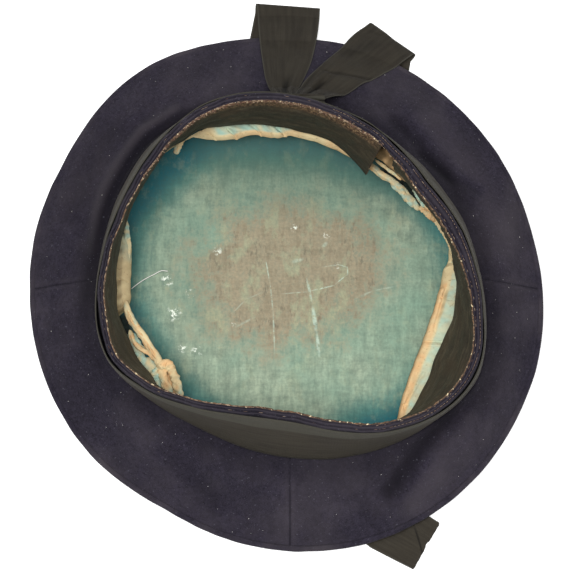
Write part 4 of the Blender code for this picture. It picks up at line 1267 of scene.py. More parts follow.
# Rolls and bunches of the hem: half width and half height, tints at both ends (0 pale teal, 1 cream, 2 peach,
# 3 brown), then the places that each runs through, in millimetres
HEM_ROLLS = (
    ("cord_inner", 2.1, 1.7, 0.9, 1.4, (-88.2, -11.4, 27.6), (-85.9, -19.3, 28.6), (-82.0, -26.5, 29.2),
     (-77.2, -33.2, 29.6), (-73.1, -39.7, 29.6), (-69.9, -45.1, 29.2), (-68.0, -49.7, 28.0)),
    ("cord_outer", 1.3, 1.2, 1.2, 1.8, (-85.6, -27.3, 26.4), (-83.1, -34.3, 27.6), (-79.3, -38.6, 28.4),
     (-74.5, -40.8, 28.8), (-71.2, -45.0, 28.8)),
    ("cord_twist", 0.6, 0.8, 1.5, 2.4, (-86.8, -17.5, 29.6), (-83.6, -25.0, 30.4), (-78.8, -31.6, 30.9),
     (-74.4, -38.4, 30.8), (-71.2, -44.6, 30.2)),
    ("cloth_left_upper", 3.3, 1.2, 0.0, 0.2, (-86.4, -29.4, 25.0), (-83.8, -33.4, 25.8),
     (-81.2, -37.4, 26.4), (-78.4, -41.0, 26.2)),
    ("cloth_left_lower", 3.9, 1.5, 0.3, 0.6, (-84.6, -42.6, 25.0), (-79.9, -44.3, 25.6),
     (-76.2, -46.0, 26.4), (-71.3, -49.9, 26.6)),
    ("cloth_left_end", 3.4, 1.3, 0.2, 0.2, (-79.0, -49.0, 24.6), (-75.4, -53.2, 25.4),
     (-72.0, -57.6, 25.6), (-68.6, -62.4, 25.0)),
    ("rear_sliver", 0.9, 0.8, 1.0, 1.4, (46.0, 66.0, 31.0), (51.8, 60.9, 32.0), (57.1, 56.7, 33.0),
     (60.0, 54.0, 33.0)),
    ("rear_ragged", 3.2, 1.2, 2.7, 3.0, (44.0, 71.5, 34.0), (51.0, 66.6, 35.0), (58.0, 60.6, 35.0),
     (66.0, 52.0, 34.0)),
    ("bunch_back", 4.4, 1.4, 1.2, 2.5, (-70.4, -49.6, 26.2), (-67.6, -54.8, 26.4), (-64.8, -59.4, 25.8),
     (-62.4, -64.6, 24.8)),
    ("bunch_knob", 2.9, 2.2, 1.3, 1.8, (-70.4, -49.4, 28.2), (-67.6, -47.4, 29.4), (-64.6, -47.6, 29.4),
     (-62.2, -50.6, 28.2)),
    ("bunch_one", 2.4, 1.3, 0.7, 0.1, (-69.4, -48.4, 28.8), (-71.4, -53.0, 28.2), (-71.1, -56.6, 27.4),
     (-68.6, -61.4, 26.0)),
    ("bunch_two", 2.3, 1.4, 1.6, 0.9, (-67.6, -47.8, 29.6), (-67.4, -53.3, 29.0), (-65.8, -57.9, 28.0),
     (-63.4, -63.4, 26.0)),
    ("bunch_three", 2.2, 1.7, 1.4, 0.8, (-64.2, -47.6, 29.6), (-61.8, -52.2, 29.2), (-60.0, -57.3, 28.2),
     (-57.6, -64.0, 26.0)),
    ("tuft", 1.7, 0.9, 1.0, 0.7, (-57.8, 81.4, 27.6), (-59.6, 77.5, 27.6), (-60.3, 74.1, 27.4),
     (-62.3, 70.6, 26.2)),
    ("tuft_end", 0.8, 0.8, 1.2, 1.4, (-59.0, 77.6, 28.0), (-60.4, 74.0, 28.0), (-61.4, 71.0, 26.6)),
    ("strip_tip", 1.6, 0.9, 0.0, 1.0, (-88.8, 34.0, 25.4), (-88.0, 27.8, 26.2), (-87.3, 21.1, 26.6),
     (-86.9, 11.4, 26.4)),
    ("rear_roll", 1.9, 1.6, 1.0, 0.4, (40.6, 66.2, 26.0), (46.0, 61.7, 27.0), (49.9, 58.6, 27.3),
     (55.6, 54.6, 27.5), (60.1, 50.4, 27.6), (63.6, 46.1, 27.6), (66.6, 42.7, 27.0), (69.3, 38.9, 25.6)),
    ("rear_swell", 1.8, 1.5, 0.6, 0.3, (54.6, 54.4, 27.0), (59.6, 49.4, 27.8), (63.0, 45.4, 27.8),
     (67.0, 40.6, 26.6)),
    ("rear_white", 1.4, 1.2, 0.0, 0.1, (66.4, 52.0, 26.6), (69.0, 46.9, 28.0), (70.9, 43.6, 28.2),
     (72.9, 39.0, 27.2)),
    ("rear_peach", 1.5, 1.3, 1.2, 1.9, (69.6, 40.6, 27.2), (72.4, 37.8, 28.4), (75.3, 35.0, 28.4),
     (79.2, 32.0, 26.8)),
    ("rear_fold", 1.2, 1.2, 1.6, 2.2, (72.2, 41.4, 27.6), (75.4, 38.3, 28.8), (78.0, 35.6, 28.4),
     (80.6, 31.8, 26.8)),
    ("rear_thin", 1.1, 0.9, 1.4, 1.0, (77.0, 34.3, 27.0), (80.2, 29.8, 27.4), (82.8, 25.3, 27.4),
     (86.0, 19.0, 27.2)),
    ("right_narrow", 1.9, 1.1, 1.2, 1.0, (85.6, 23.4, 26.6), (87.2, 18.1, 27.2), (88.0, 13.1, 27.4),
     (88.4, 4.6, 26.8)),
)


def roll_points(half_width, half_height, line, seed):
    """Points round a soft roll of cloth: rows round it and columns along it, drawn in at its ends."""
    spine = along_table(line, 44)
    across = np.cross(np.gradient(spine, axis=0), (0.0, 0.0, 1.0))
    across /= np.linalg.norm(across, axis=1)[:, None]
    way = np.linspace(0.0, 1.0, len(spine))[None]
    turn = np.radians(np.arange(0.0, 360.0, 15.0))[:, None]
    ends = np.clip(1.0 - np.abs(2.0 * way - 1.0) ** 7, 0.02, 1.0) ** 0.5
    size = ends * (1.0 + 0.16 * waves(way * 20 * MM + 0 * turn, turn * 3 * MM, 6 * MM, seed))
    out = half_width * MM * np.cos(turn) * size
    up = half_height * MM * np.sin(turn) * size
    creased = 0.16 * MM * waves(way * 26 * MM + 0 * turn, turn * 2.2 * MM, 2.4 * MM, seed + 100) * ends
    raised = np.stack([0 * up, 0 * up, up + creased], -1)
    return spine[None] + (out + creased)[..., None] * across[None] + raised


class RollsBuild(bpy.types.Operator):
    """Build the hem's rolls, its twisted cord and its bunches"""
    bl_idname = "sailor_cap.rolls"
    bl_label = "Hem rolls"

    def execute(self, context):
        own = settings("cap_lining")
        tints = np.array([srgb(156, 186, 170), own.cream[:], own.peach[:], srgb(98, 80, 52)])
        finish = finish_of("hem cotton", hem_finish)
        for seed, (name, half_width, half_height, first, last, *line) in enumerate(HEM_ROLLS):
            points = roll_points(half_width, half_height, line, seed)
            mesh = cap_ends(grid_mesh("hem_" + name, points, section=True), *points.shape[:2])
            tone = mix(first, last, np.broadcast_to(np.linspace(0.0, 1.0, points.shape[1]), points.shape[:2]))
            # Painted shade: the underside and flanks of each roll are tinted further towards peach and brown
            under = np.clip(0.2 - np.sin(np.radians(np.arange(0.0, 360.0, 15.0))), 0.0, 1.0)[:, None]
            tone = tone + under + 0.4 * waves(points[..., 0], points[..., 1], 5 * MM, seed + 200)
            tone = np.clip(tone, 0.0, 3.0)
            whole = np.minimum(np.floor(tone).astype(int), 2)
            paint(mesh, "tint", mix(tints[whole], tints[whole + 1], smooth(tone - whole)[..., None]))
            piece("hem_" + name, mesh, finish, "cream_hem")
        return {"FINISHED"}


# Ribbon: the wrap round the band, the knot and the tails

# How far the wrap's upper edge stands off the band and how far its middle bulges: angle, then millimetres
WRAP_GAPS = (
    (0, 0.3, 0.8), (10, 0.3, 1.6), (20, 0.4, 3.0), (30, 0.5, 3.4), (38, 0.6, 2.8), (46, 0.6, 1.4),
    (56, 0.4, 0.4), (70, 0.2, 0.2), (100, 0.2, 0.2), (120, 0.3, 0.8), (140, 0.3, 1.6), (160, 0.3, 1.2),
    (178, 0.3, 0.5), (190, 0.6, 0.4), (199, 1.6, 0.8), (208, 1.4, 1.0), (220, 0.5, 0.8), (250, 0.2, 0.3),
    (300, 0.3, 0.3), (318, 0.4, 0.8), (328, 0.7, 1.0), (337, 0.5, 0.8), (350, 0.3, 0.6),
)
WRAP_LOW = 0.7 * MM
WRAP_DROP = (
    (0, 2.0), (30, 2.2), (60, 2.4), (90, 2.8), (120, 1.6), (150, 1.3), (180, 1.6), (210, 2.8), (230, 1.4),
    (260, 1.0), (285, 1.2), (300, 1.2), (330, 2.0), (345, 1.9),
)


class WrapBuild(bpy.types.Operator):
    """Build the ribbon wound round the band"""
    bl_idname = "sailor_cap.wrap"
    bl_label = "Ribbon round the band"

    def execute(self, context):
        own = settings("cap_ribbon")
        degrees = np.arange(0.0, 360.0, 0.75)
        ways = np.linspace(0.0, 1.0, 18)[:, None]
        along = 0.095 * np.radians(degrees)
        low_z = FOOT_Z + WRAP_LOW + 0.25 * MM * waves(along, 0 * along, 40 * MM, 72)
        high_z = EDGE_Z - ring_through(WRAP_DROP)(degrees) * MM
        height = mix(low_z, high_z, ways)
        gap = ring_through([row[:2] for row in WRAP_GAPS])(degrees) * MM
        bulge = ring_through([(row[0], row[2]) for row in WRAP_GAPS])(degrees) * MM
        off = 0.75 * MM + gap * ways ** 1.6 + bulge * np.sin(np.pi * ways)
        off = off + 0.14 * MM * (1.0 + waves(along + 0 * ways, 0.03 * ways, 22 * MM, 71))
        radius = band_face(degrees, height - FOOT_Z) + off
        points = polar(degrees, radius, height)
        uv = lengths_uv(points, around=True)[..., ::-1]
        mesh = grid_mesh("ribbon_wrap", points, around=True, uv=uv)
        if Vector(points[0, 0]).dot(mesh.polygons[0].normal) < 0.0:
            mesh.flip_normals()
        made = piece("ribbon_wrap", mesh, finish_of("ribbed ribbon", ribbon_finish), "ribbon", "tally_wrap")
        wall(made, own.wall)
        return {"FINISHED"}


# Height of the slack knot, less than its solid's
KNOT_HEIGHT = 14.5 * MM


class KnotBuild(bpy.types.Operator):
    """Build the flat knot at the back of the band"""
    bl_idname = "sailor_cap.knot"
    bl_label = "Knot"

    def execute(self, context):
        low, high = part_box("tally_knot")
        high.z = low.z + KNOT_HEIGHT
        middle, half = (low + high) / 2, (high - low) / 2
        across = np.radians(np.arange(0.0, 360.0, 7.5))
        ways = np.linspace(-1.0, 1.0, 34)[:, None]
        power = 0.45
        ring_x = np.sign(np.cos(across)) * np.abs(np.cos(across)) ** power
        ring_y = np.sign(np.sin(across)) * np.abs(np.sin(across)) ** power
        taper = (1.0 - np.abs(ways) ** 6) ** 0.4 * 0.98 + 0.02
        waist = 1.0 - 0.12 * np.cos(ways * np.pi)
        x = ring_x * half.x * np.maximum(taper, 0.1) * waist
        pleats = 1.0 + 0.10 * np.cos(ring_x * 9.0 + 2.0 * ways)
        y = ring_y * half.y * np.maximum(taper, 0.1) * pleats
        z = ways * half.z * (1.0 + 0.03 * np.cos(ring_x * 5.0))
        points = np.stack(np.broadcast_arrays(middle.x + x, middle.y + y, middle.z + z), -1)
        uv = lengths_uv(points, around=True)
        mesh = cap_rows(grid_mesh("ribbon_knot", points, around=True, uv=uv), *points.shape[:2])
        piece("ribbon_knot", mesh, finish_of("ribbed ribbon", ribbon_finish), "ribbon", "tally_knot")
        return {"FINISHED"}


# Upper layers of the tails from the knot to the fold, in millimetres: left edge x and y, right edge x and y
LEFT_PLAN = (
    (-8.6, 95.4, 4.4, 95.0), (-10.4, 104.0, 3.4, 103.2), (-13.4, 114.6, 7.5, 114.5),
    (-15.2, 127.0, 11.6, 126.2), (-16.9, 142.4, 14.7, 141.7), (-17.7, 152.6, 16.0, 151.6),
    (-18.5, 163.2, 16.7, 160.6),
)
RIGHT_PLAN = (
    (2.6, 95.2, 17.0, 93.6), (3.8, 104.0, 22.6, 99.4), (8.9, 114.5, 31.0, 105.0),
    (15.5, 122.6, 39.4, 112.0), (22.0, 130.0, 47.0, 117.0), (28.6, 137.4, 54.0, 122.4),
    (35.8, 145.8, 61.0, 128.0), (43.8, 152.6, 68.4, 134.4),
)
# Lower layers, from the fold on under the crown
LEFT_UNDER = (
    (-19.4, 160.4, 15.6, 157.2), (-22.8, 142.3, 12.0, 139.3), (-44.4, 32.0, -10.2, 30.0),
    (-66.4, -90.3, -32.4, -92.3),
)
RIGHT_UNDER = (
    (42.4, 150.4, 67.0, 131.8), (39.0, 130.0, 63.2, 109.6), (18.0, 24.0, 42.6, 6.0),
    (-1.7, -78.3, 17.7, -120.3), (52.0, -109.6, 43.0, -140.6), (80.2, -127.6, 65.8, -152.6),
)
# Pleats by the knot: share across at the knot and at the pleat's end, width as a share, height in
# millimetres, and how far the pleat runs as a share of the upper layer
LEFT_PLEATS = (
    (0.50, 0.60, 0.09, -3.0, 0.42), (0.20, 0.14, 0.08, 1.6, 0.32), (0.34, 0.26, 0.06, -1.4, 0.30),
    (0.74, 0.78, 0.08, 2.0, 0.46), (0.88, 0.90, 0.05, -1.0, 0.30), (0.42, 0.42, 0.05, 1.2, 0.22),
)
RIGHT_PLEATS = (
    (0.22, 0.24, 0.08, 1.8, 0.60), (0.36, 0.36, 0.06, -2.0, 0.52), (0.60, 0.52, 0.10, 1.6, 0.36),
    (0.76, 0.70, 0.06, -1.4, 0.26), (0.90, 0.92, 0.06, 1.0, 0.30), (0.08, 0.08, 0.05, -0.8, 0.5),
)
# Sharp creases of the tails' upper layers: width and height, then places in plan, in millimetres
TAIL_CREASES = (
    (1.5, -1.6, (19, 120.5), (28.5, 118.8), (43.2, 116.3)),
    (4.0, 1.4, (20, 116.0), (42.0, 112.5)),
    (5.0, 0.8, (24, 126.0), (46.0, 124.0)),
    (4.0, -0.6, (30, 132.0), (46.0, 140.0)),
    (5.0, 0.5, (-6.0, 128.0), (6.0, 130.0)),
)
FOLD_Z = 4.6 * MM
UNDER_Z = 0.55 * MM
# Notches in the cut end: share across and depth in millimetres
END_NOTCHES = (
    (0.0, 0.7), (0.04, 0.0), (0.12, 0.25), (0.16, 0.1), (0.27, 0.3), (0.3, 0.15), (0.4, 0.3), (0.44, 0.9),
    (0.49, 1.0), (0.53, 0.5), (0.6, 0.3), (0.7, 0.35), (0.78, 0.15), (0.86, 0.3), (0.93, 0.1), (1.0, 0.4),
)
ACROSS = 45


def along_table(rows, count):
    """A smooth curve of rows through a table's rows, spaced as the rows are."""
    rows = np.array(rows, float) * MM
    padded = np.concatenate([[2 * rows[0] - rows[1]], rows, [2 * rows[-1] - rows[-2]]])
    at = np.linspace(0.0, len(rows) - 1 - 1e-9, count)
    index = np.floor(at).astype(int)
    t = (at - index)[:, None]
    return spline(padded[index], padded[index + 1], padded[index + 2], padded[index + 3], t)


def straight_table(rows, count):
    """Rows on straight lines through a table's rows."""
    rows = np.array(rows, float) * MM
    at = np.linspace(0.0, len(rows) - 1, count)
    return np.stack([np.interp(at, np.arange(len(rows)), column) for column in rows.T], -1)


def across_rows(edges):
    """Points from the left to the right of rows of (left x, left y, right x, right y)."""
    share = np.linspace(0.0, 1.0, ACROSS)[None, :, None]
    return mix(edges[:, None, :2], edges[:, None, 2:], share)


def tail_top(plan, pleats):
    """A tail's upper layer, from the knot down over the side to its fold, with the painted shade on it."""
    flat = across_rows(along_table(plan, 120))
    x, y = flat[..., 0], flat[..., 1]
    degrees = np.degrees(np.arctan2(y, x))
    radius = np.hypot(x, y)
    way = np.linspace(0.0, 1.0, len(flat))[:, None]
    share = np.linspace(0.0, 1.0, ACROSS)[None]
    lying = slope_height(degrees, np.maximum(radius, FOOT(degrees) + 0.5 * MM)) + 0.9 * MM
    past = radius - RIM(degrees)
    fold_past = past[-1].max()
    hanging = mix(slope_height(degrees, RIM(degrees) - 3 * MM) + 0.9 * MM, FOLD_Z, smooth(past / fold_past))
    height = np.where(past > -3 * MM, np.minimum(lying + 4 * MM, hanging), lying)
    height = np.maximum(height, np.where(past < 0.5 * MM, WELT_Z + 2.9 * MM, FOLD_Z))
    standing = FOOT_Z + 17.0 * MM - (radius - radius[0].min()) * 1.7
    height = np.maximum(height, standing + 0.0 * way)
    height = np.where(way < 0.5, height + 1.7 * MM * smooth((0.34 - way) * 5.0), height)
    lift = np.zeros_like(height)
    for start, end, width, depth, reach in pleats:
        centre = mix(start, end, np.clip(way / reach, 0.0, 1.0))
        fade = smooth((reach - way) / (0.7 * reach)) * smooth(way * 14.0)
        lift += 1.25 * depth * MM * fade * np.exp(-((share - centre) / width) ** 2)
    lift += folds(x, y, TAIL_CREASES)
    lift += 0.16 * MM * waves(x, y, 16 * MM, 81) + 0.1 * MM * waves(x, y, 6 * MM, 82)
    room = 0.6 * MM + 2.4 * MM * smooth((0.42 - way) * 3.0)
    lift = np.maximum(lift, -room)
    edge_roll = np.exp(-np.minimum(share, 1.0 - share) / 0.03) * 0.35 * MM
    height = height + (lift - edge_roll) * smooth((1.0 - way) * 6.0) + 1.0 * MM * smooth((0.5 - way) * 3.0)
    # Painted shade: in the pleats' valleys, on the standing part by the knot, and a little over the whole
    # upper layer
    near_knot = 0.2 + 0.3 * smooth((0.16 - way) * 8.0) + 0.0 * share
    dark = np.clip(np.maximum(-0.38 * lift / MM, 0.0) + near_knot, 0.0, 0.85)
    return np.stack([x, y, height], -1), dark


def tail_bend(top, under):
    """Rows round a tail's fold, between its upper and lower layers."""
    start, end = top[-1], under[0]
    out = (top[-1] - top[-3])
    out = out / np.linalg.norm(out, axis=1)[:, None] * 2.6 * MM
    rows = []
    for t in np.linspace(0.0, 1.0, 11)[1:-1]:
        base = mix(start, end, t)
        rows.append(base + out * math.sin(math.pi * t) ** 0.8)
    return np.array(rows)


def tail_under(plan, count):
    """A tail's lower layer, flat under the crown."""
    flat = across_rows(straight_table(plan, count))
    return np.concatenate([flat, np.full((*flat.shape[:2], 1), UNDER_Z)], -1)


def notched(points):
    """The cut end of a tail, frayed with notches."""
    share = np.linspace(0.0, 1.0, points.shape[1])
    table = np.array(END_NOTCHES)
    depth = np.interp(share, table[:, 0], table[:, 1]) * MM
    heading = points[-1] - points[-4]
    heading = heading / np.linalg.norm(heading, axis=1)[:, None]
    points = points.copy()
    for back in range(6):
        points[-1 - back] -= heading * (depth * (1.0 - back / 6.0))[:, None]
    return points


class TailsBuild(bpy.types.Operator):
    """Build the ribbon's two tails, from the knot over the side and on under the crown"""
    bl_idname = "sailor_cap.tails"
    bl_label = "Tails"

    def execute(self, context):
        own = settings("cap_ribbon")
        finish = finish_of("ribbed ribbon", ribbon_finish)
        tails = (("ribbon_tail_left", "tail_left", LEFT_PLAN, LEFT_PLEATS, LEFT_UNDER, 150),
                 ("ribbon_tail_right", "tail_right", RIGHT_PLAN, RIGHT_PLEATS, RIGHT_UNDER, 226))
        for name, node, plan, pleats, under_plan, count in tails:
            top, dark = tail_top(plan, pleats)
            under = tail_under(under_plan, count)
            if node == "tail_right":
                way = np.linspace(0.0, 1.0, count)[:, None]
                share = np.linspace(0.0, 1.0, ACROSS)[None]
                curl = smooth((way - 0.86) / 0.14) * (0.5 + 1.3 * (share - 0.35) ** 2)
                middle = 0.33 + 0.325 * (way - 0.934) / 0.066
                crease = np.exp(-((share - middle) / 0.022) ** 2) * smooth((way - 0.91) * 25.0)
                facet = smooth((middle - share) / 0.03) * smooth((way - 0.91) * 25.0)
                under[..., 2] += (1.2 * curl + 0.5 * facet) * MM
                under = notched(under)
            points = np.concatenate([top, tail_bend(top, under), under])
            uv = lengths_uv(points)
            uv[..., 0] = np.linspace(0.0, own.width, ACROSS)[None]
            mesh = facing(grid_mesh(name, points, uv=uv), True, 10)
            tones = np.zeros((*points.shape[:2], 3))
            # Painted shade on the upper layer, and along the crease at the right tail's end
            tones[:len(top), :, 1] = dark
            if node == "tail_right":
                tones[-count:, :, 1] = 0.9 * crease
            paint(mesh, "tone", tones)
            made = piece(name, mesh, finish, "ribbon", node)
            wall(made, own.wall, 0.0)
        return {"FINISHED"}


# Stitches and lint, as instances on a path or over the wool

def sockets(tree, *rows):
    """Gives a node tree its named inputs, and geometry in and out. Returns its group input and output."""
    for name, kind, value in (("Geometry", "Geometry", None), *rows):
        made = tree.interface.new_socket(name, in_out="INPUT", socket_type="NodeSocket" + kind)
        if value is not None:
            made.default_value = value
    tree.interface.new_socket("Geometry", in_out="OUTPUT", socket_type="NodeSocketGeometry")
    return tree.nodes.new("NodeGroupInput").outputs, tree.nodes.new("NodeGroupOutput")


def random_value(tree, low, high, seed):
    """A random number, or a random vector, between two for each instance."""
    kind, first, out = ("FLOAT_VECTOR", 0, 0) if isinstance(low, tuple) else ("FLOAT", 2, 1)
    node = add(tree, "FunctionNodeRandomValue", {first: low, first + 1: high, "Seed": seed}, data_type=kind)
    return node.outputs[out]


def scaled(tree, vector, scale):
    return add(tree, "ShaderNodeVectorMath", {0: vector, "Scale": scale}, operation="SCALE").outputs[0]


def realized(tree, instances, tone, material, result):
    """Ends a tree: instances with a tone each, made into one mesh with its material."""
    toned = add(tree, "GeometryNodeStoreNamedAttribute", {
        "Geometry": instances, "Name": "tone", "Value": tone}, data_type="FLOAT", domain="INSTANCE")
    real = add(tree, "GeometryNodeRealizeInstances", {"Geometry": toned.outputs[0]})
    done = add(tree, "GeometryNodeSetMaterial", {"Geometry": real.outputs[0], "Material": material})
    tree.links.new(done.outputs[0], result.inputs[0])
    return tree


def stitch_tree():
    """Stitches along a path: named sizes in, realized thread meshes out."""
    tree = bpy.data.node_groups.new("Stitches along a path", "GeometryNodeTree")
    given, result = sockets(
        tree, ("Spacing", "Float", 2.0 * MM), ("Stitch Length", "Float", 1.6 * MM),
        ("Thickness", "Float", 0.4 * MM), ("Kept", "Float", 1.0), ("Turn", "Float", 0.1),
        ("Shift", "Float", 0.1 * MM), ("Rust", "Float", 1.0), ("Seed", "Int", 1),
        ("Thread", "Material", None))
    points = add(tree, "GeometryNodeCurveToPoints", {"Curve": given["Geometry"], "Length": given["Spacing"]},
                 mode="LENGTH")
    kept = add(tree, "FunctionNodeRandomValue", {"Probability": given["Kept"], "Seed": given["Seed"]},
               data_type="BOOLEAN")
    sphere = add(tree, "GeometryNodeMeshUVSphere", {"Segments": 6, "Rings": 5, "Radius": 0.5})
    size = add(tree, "ShaderNodeCombineXYZ", {
        "X": given["Stitch Length"], "Y": given["Thickness"], "Z": given["Thickness"]})
    stitch = add(tree, "GeometryNodeTransform", {
        "Geometry": sphere.outputs["Mesh"], "Scale": size.outputs[0]})
    heading = add(tree, "FunctionNodeAlignRotationToVector", {"Vector": points.outputs["Tangent"]}, axis="X")
    sway = times(tree, random_value(tree, -1.0, 1.0, 5), given["Turn"])
    tilt = add(tree, "ShaderNodeCombineXYZ", {"Z": sway})
    euler = add(tree, "FunctionNodeEulerToRotation", {"Euler": tilt.outputs[0]})
    turned = add(tree, "FunctionNodeRotateRotation", {
        "Rotation": heading.outputs[0], "Rotate By": euler.outputs[0]}, rotation_space="LOCAL")
    placed = add(tree, "GeometryNodeInstanceOnPoints", {
        "Points": points.outputs["Points"], "Selection": kept.outputs[3],
        "Instance": stitch.outputs["Geometry"], "Rotation": turned.outputs[0],
        "Scale": random_value(tree, (0.65, 0.75, 0.75), (1.25, 1.2, 1.2), 9)})
    apart = scaled(tree, random_value(tree, (-1, -1, -0.4), (1, 1, 0.4), 11), given["Shift"])
    moved = add(tree, "GeometryNodeTranslateInstances", {
        "Instances": placed.outputs[0], "Translation": apart})
    rust = times(tree, random_value(tree, 0.0, 1.0, 13), given["Rust"])
    return realized(tree, moved.outputs[0], rust, given["Thread"], result)


def lint_tree():
    """Lint scattered over the upper side of a mesh."""
    tree = bpy.data.node_groups.new("Lint over cloth", "GeometryNodeTree")
    given, result = sockets(
        tree, ("Density", "Float", 1000.0), ("Size", "Float", 0.4 * MM), ("Seed", "Int", 1),
        ("Lint", "Material", None))
    upright = add(tree, "ShaderNodeSeparateXYZ", {"Vector": add(tree, "GeometryNodeInputNormal").outputs[0]})
    above = add(tree, "ShaderNodeMath", {0: upright.outputs["Z"], 1: 0.5}, operation="GREATER_THAN")
    points = add(tree, "GeometryNodeDistributePointsOnFaces", {
        "Mesh": given["Geometry"], "Selection": above.outputs[0], "Density": given["Density"],
        "Seed": given["Seed"]})
    speck = add(tree, "GeometryNodeMeshIcoSphere", {"Radius": 0.5, "Subdivisions": 1})
    turn = add(tree, "FunctionNodeEulerToRotation", {
        "Euler": random_value(tree, (0, 0, 0), (0.3, 0.3, 6.28), 3)})
    size = scaled(tree, random_value(tree, (0.4, 0.3, 0.2), (2.6, 0.9, 0.5), 4), given["Size"])
    placed = add(tree, "GeometryNodeInstanceOnPoints", {
        "Points": points.outputs["Points"], "Instance": speck.outputs["Mesh"], "Rotation": turn.outputs[0],
        "Scale": size})
    return realized(tree, placed.outputs[0], random_value(tree, 0.0, 1.0, 13), given["Lint"], result)


def grown_by_nodes(source, tree, values):
    """The plain mesh that a node tree makes of an object, which is then removed."""
    bpy.context.scene.collection.objects.link(source)
    modifier = source.modifiers.new("nodes", "NODES")
    modifier.node_group = tree
    for item in tree.interface.items_tree:
        if item.item_type == "SOCKET" and item.in_out == "INPUT" and item.name in values:
            modifier[item.identifier] = values[item.name]
    bpy.context.view_layer.update()
    graph = bpy.context.evaluated_depsgraph_get()
    mesh = bpy.data.meshes.new_from_object(source.evaluated_get(graph), depsgraph=graph)
    bpy.data.objects.remove(source)
    return mesh


def path_curve(points):
    curve = bpy.data.curves.new("path", "CURVE")
    curve.dimensions = "3D"
    line = curve.splines.new("POLY")
    line.points.add(len(points) - 1)
    flat = np.concatenate([points, np.ones((len(points), 1))], 1)
    line.points.foreach_set("co", flat.ravel())
    return bpy.data.objects.new("path", curve)


# Rows of stitches on the band's edge: name, place out and up on the edge in millimetres, spacing and length
# as shares of the set spacing, thickness as a share, share kept, turn, shift in millimetres, most rust, and
# the first and last angle
STITCH_ROWS = (
    ("stitches_edge_outer", -1.25, -0.22, 0.95, 0.97, 0.62, 0.96, 0.05, 0.05, 0.8, -64, 74),
    ("stitches_edge_front", -1.25, -0.22, 0.95, 0.97, 0.5, 0.14, 0.05, 0.05, 0.9, 74, 296),
    ("stitches_edge_inner", -3.55, -0.25, 1.0, 0.85, 0.7, 0.4, 0.10, 0.10, 1.0, -70, 80),
    ("stitches_sweatband", -4.9, -0.35, 0.9, 0.8, 0.9, 0.55, 0.7, 0.25, 1.0, -30, 330),
    ("stitches_sweatband_left", -4.7, -0.1, 1.9, 1.25, 1.0, 0.9, 0.15, 0.15, 0.15, 100, 250),
    ("stitches_sweatband_ragged", -5.5, -0.9, 0.5, 0.7, 0.8, 0.6, 1.6, 0.5, 0.9, 58, 136),
    ("stitches_fringe", -5.2, -0.5, 0.2, 0.65, 1.1, 0.9, 1.6, 0.7, 2.2, 56, 150),
)


class StitchBuild(bpy.types.Operator):
    """Sew the rows of stitches along the band's edge and the sweatband's ragged top"""
    bl_idname = "sailor_cap.stitches"
    bl_label = "Stitches"

    def execute(self, context):
        own = settings("cap_stitch")
        tree = stitch_tree()
        finish = finish_of("thread", thread_finish)
        for number, row in enumerate(STITCH_ROWS):
            name, out, up, spacing, length, thick, kept, turn, shift, rust, first, last = row
            degrees = np.arange(first, last + 0.5, 1.0)
            radius, height = edge_place(degrees, out * MM, up * MM)
            values = {
                "Spacing": own.spacing * spacing, "Stitch Length": own.spacing * length,
                "Thickness": own.thickness * thick, "Kept": kept, "Turn": turn, "Shift": shift * MM,
                "Rust": rust, "Seed": own.seed + number, "Thread": finish}
            mesh = grown_by_nodes(path_curve(polar(degrees, radius, height)), tree, values)
            mesh.name = name
            piece(name, mesh, finish, "navy_wool")
        return {"FINISHED"}


# The loose thread on the lining: points in millimetres
LOOSE_THREAD = (
    (-86.0, 0.0, 7.0), (-83.0, 3.0, 5.4), (-78.5, 6.2, 5.0), (-74.0, 8.6, 4.9), (-70.0, 10.6, 5.1),
    (-66.5, 10.4, 5.2),
)
THREAD_RADIUS = 0.24 * MM


class LintBuild(bpy.types.Operator):
    """Scatter lint over the wool and lay the loose thread on the lining"""
    bl_idname = "sailor_cap.lint"
    bl_label = "Lint and loose thread"

    def execute(self, context):
        own = settings("cap_stitch")
        finish = finish_of("lint", lint_finish)
        tree = lint_tree()
        for number, node in enumerate(PANELS):
            side = node.replace("side_panel", "wool_side")
            source = bpy.data.objects.new("lint source", bpy.data.objects[side].data.copy())
            values = {"Density": own.lint, "Size": 0.42 * MM, "Seed": own.seed + number, "Lint": finish}
            mesh = grown_by_nodes(source, tree, values)
            name = node.replace("side_panel", "lint")
            mesh.name = name
            piece(name, mesh, finish, "navy_wool")
        points = along_table(LOOSE_THREAD, 40)
        turns = np.radians(np.arange(0.0, 360.0, 60.0))[:, None, None]
        tangent = np.gradient(points, axis=0)
        tangent /= np.linalg.norm(tangent, axis=1)[:, None]
        side = np.cross(tangent, (0.0, 0.0, 1.0))
        side /= np.linalg.norm(side, axis=1)[:, None]
        up = np.cross(side, tangent)
        tube = points[None] + THREAD_RADIUS * (np.cos(turns) * side + np.sin(turns) * up)
        mesh = cap_ends(grid_mesh("loose_thread", tube, section=True), *tube.shape[:2])
        paint(mesh, "tone", np.zeros((len(mesh.vertices), 3)))
        piece("loose_thread", mesh, finish, "teal_cotton")
        return {"FINISHED"}


# Stage: floor, lights and camera

PHOTO_SIZE = 570.0
PHOTO_ORIGIN = (290.0, 292.0)
PIXELS_PER_METRE = 1836.0
SENSOR = 36.0
FLOOR_Z = -0.15 * MM
FLOOR_SIZE = 8.0
WORLD_STRENGTH = 0.42
# Lights: name, place, size and power in watts
LIGHTS = (
    ("key", (-0.3, -0.45, 1.75), 0.7, 30.0),
    ("fill", (0.9, 0.2, 1.5), 1.6, 9.0),
    ("top", (0.0, 0.1, 2.0), 1.4, 8.0),
)


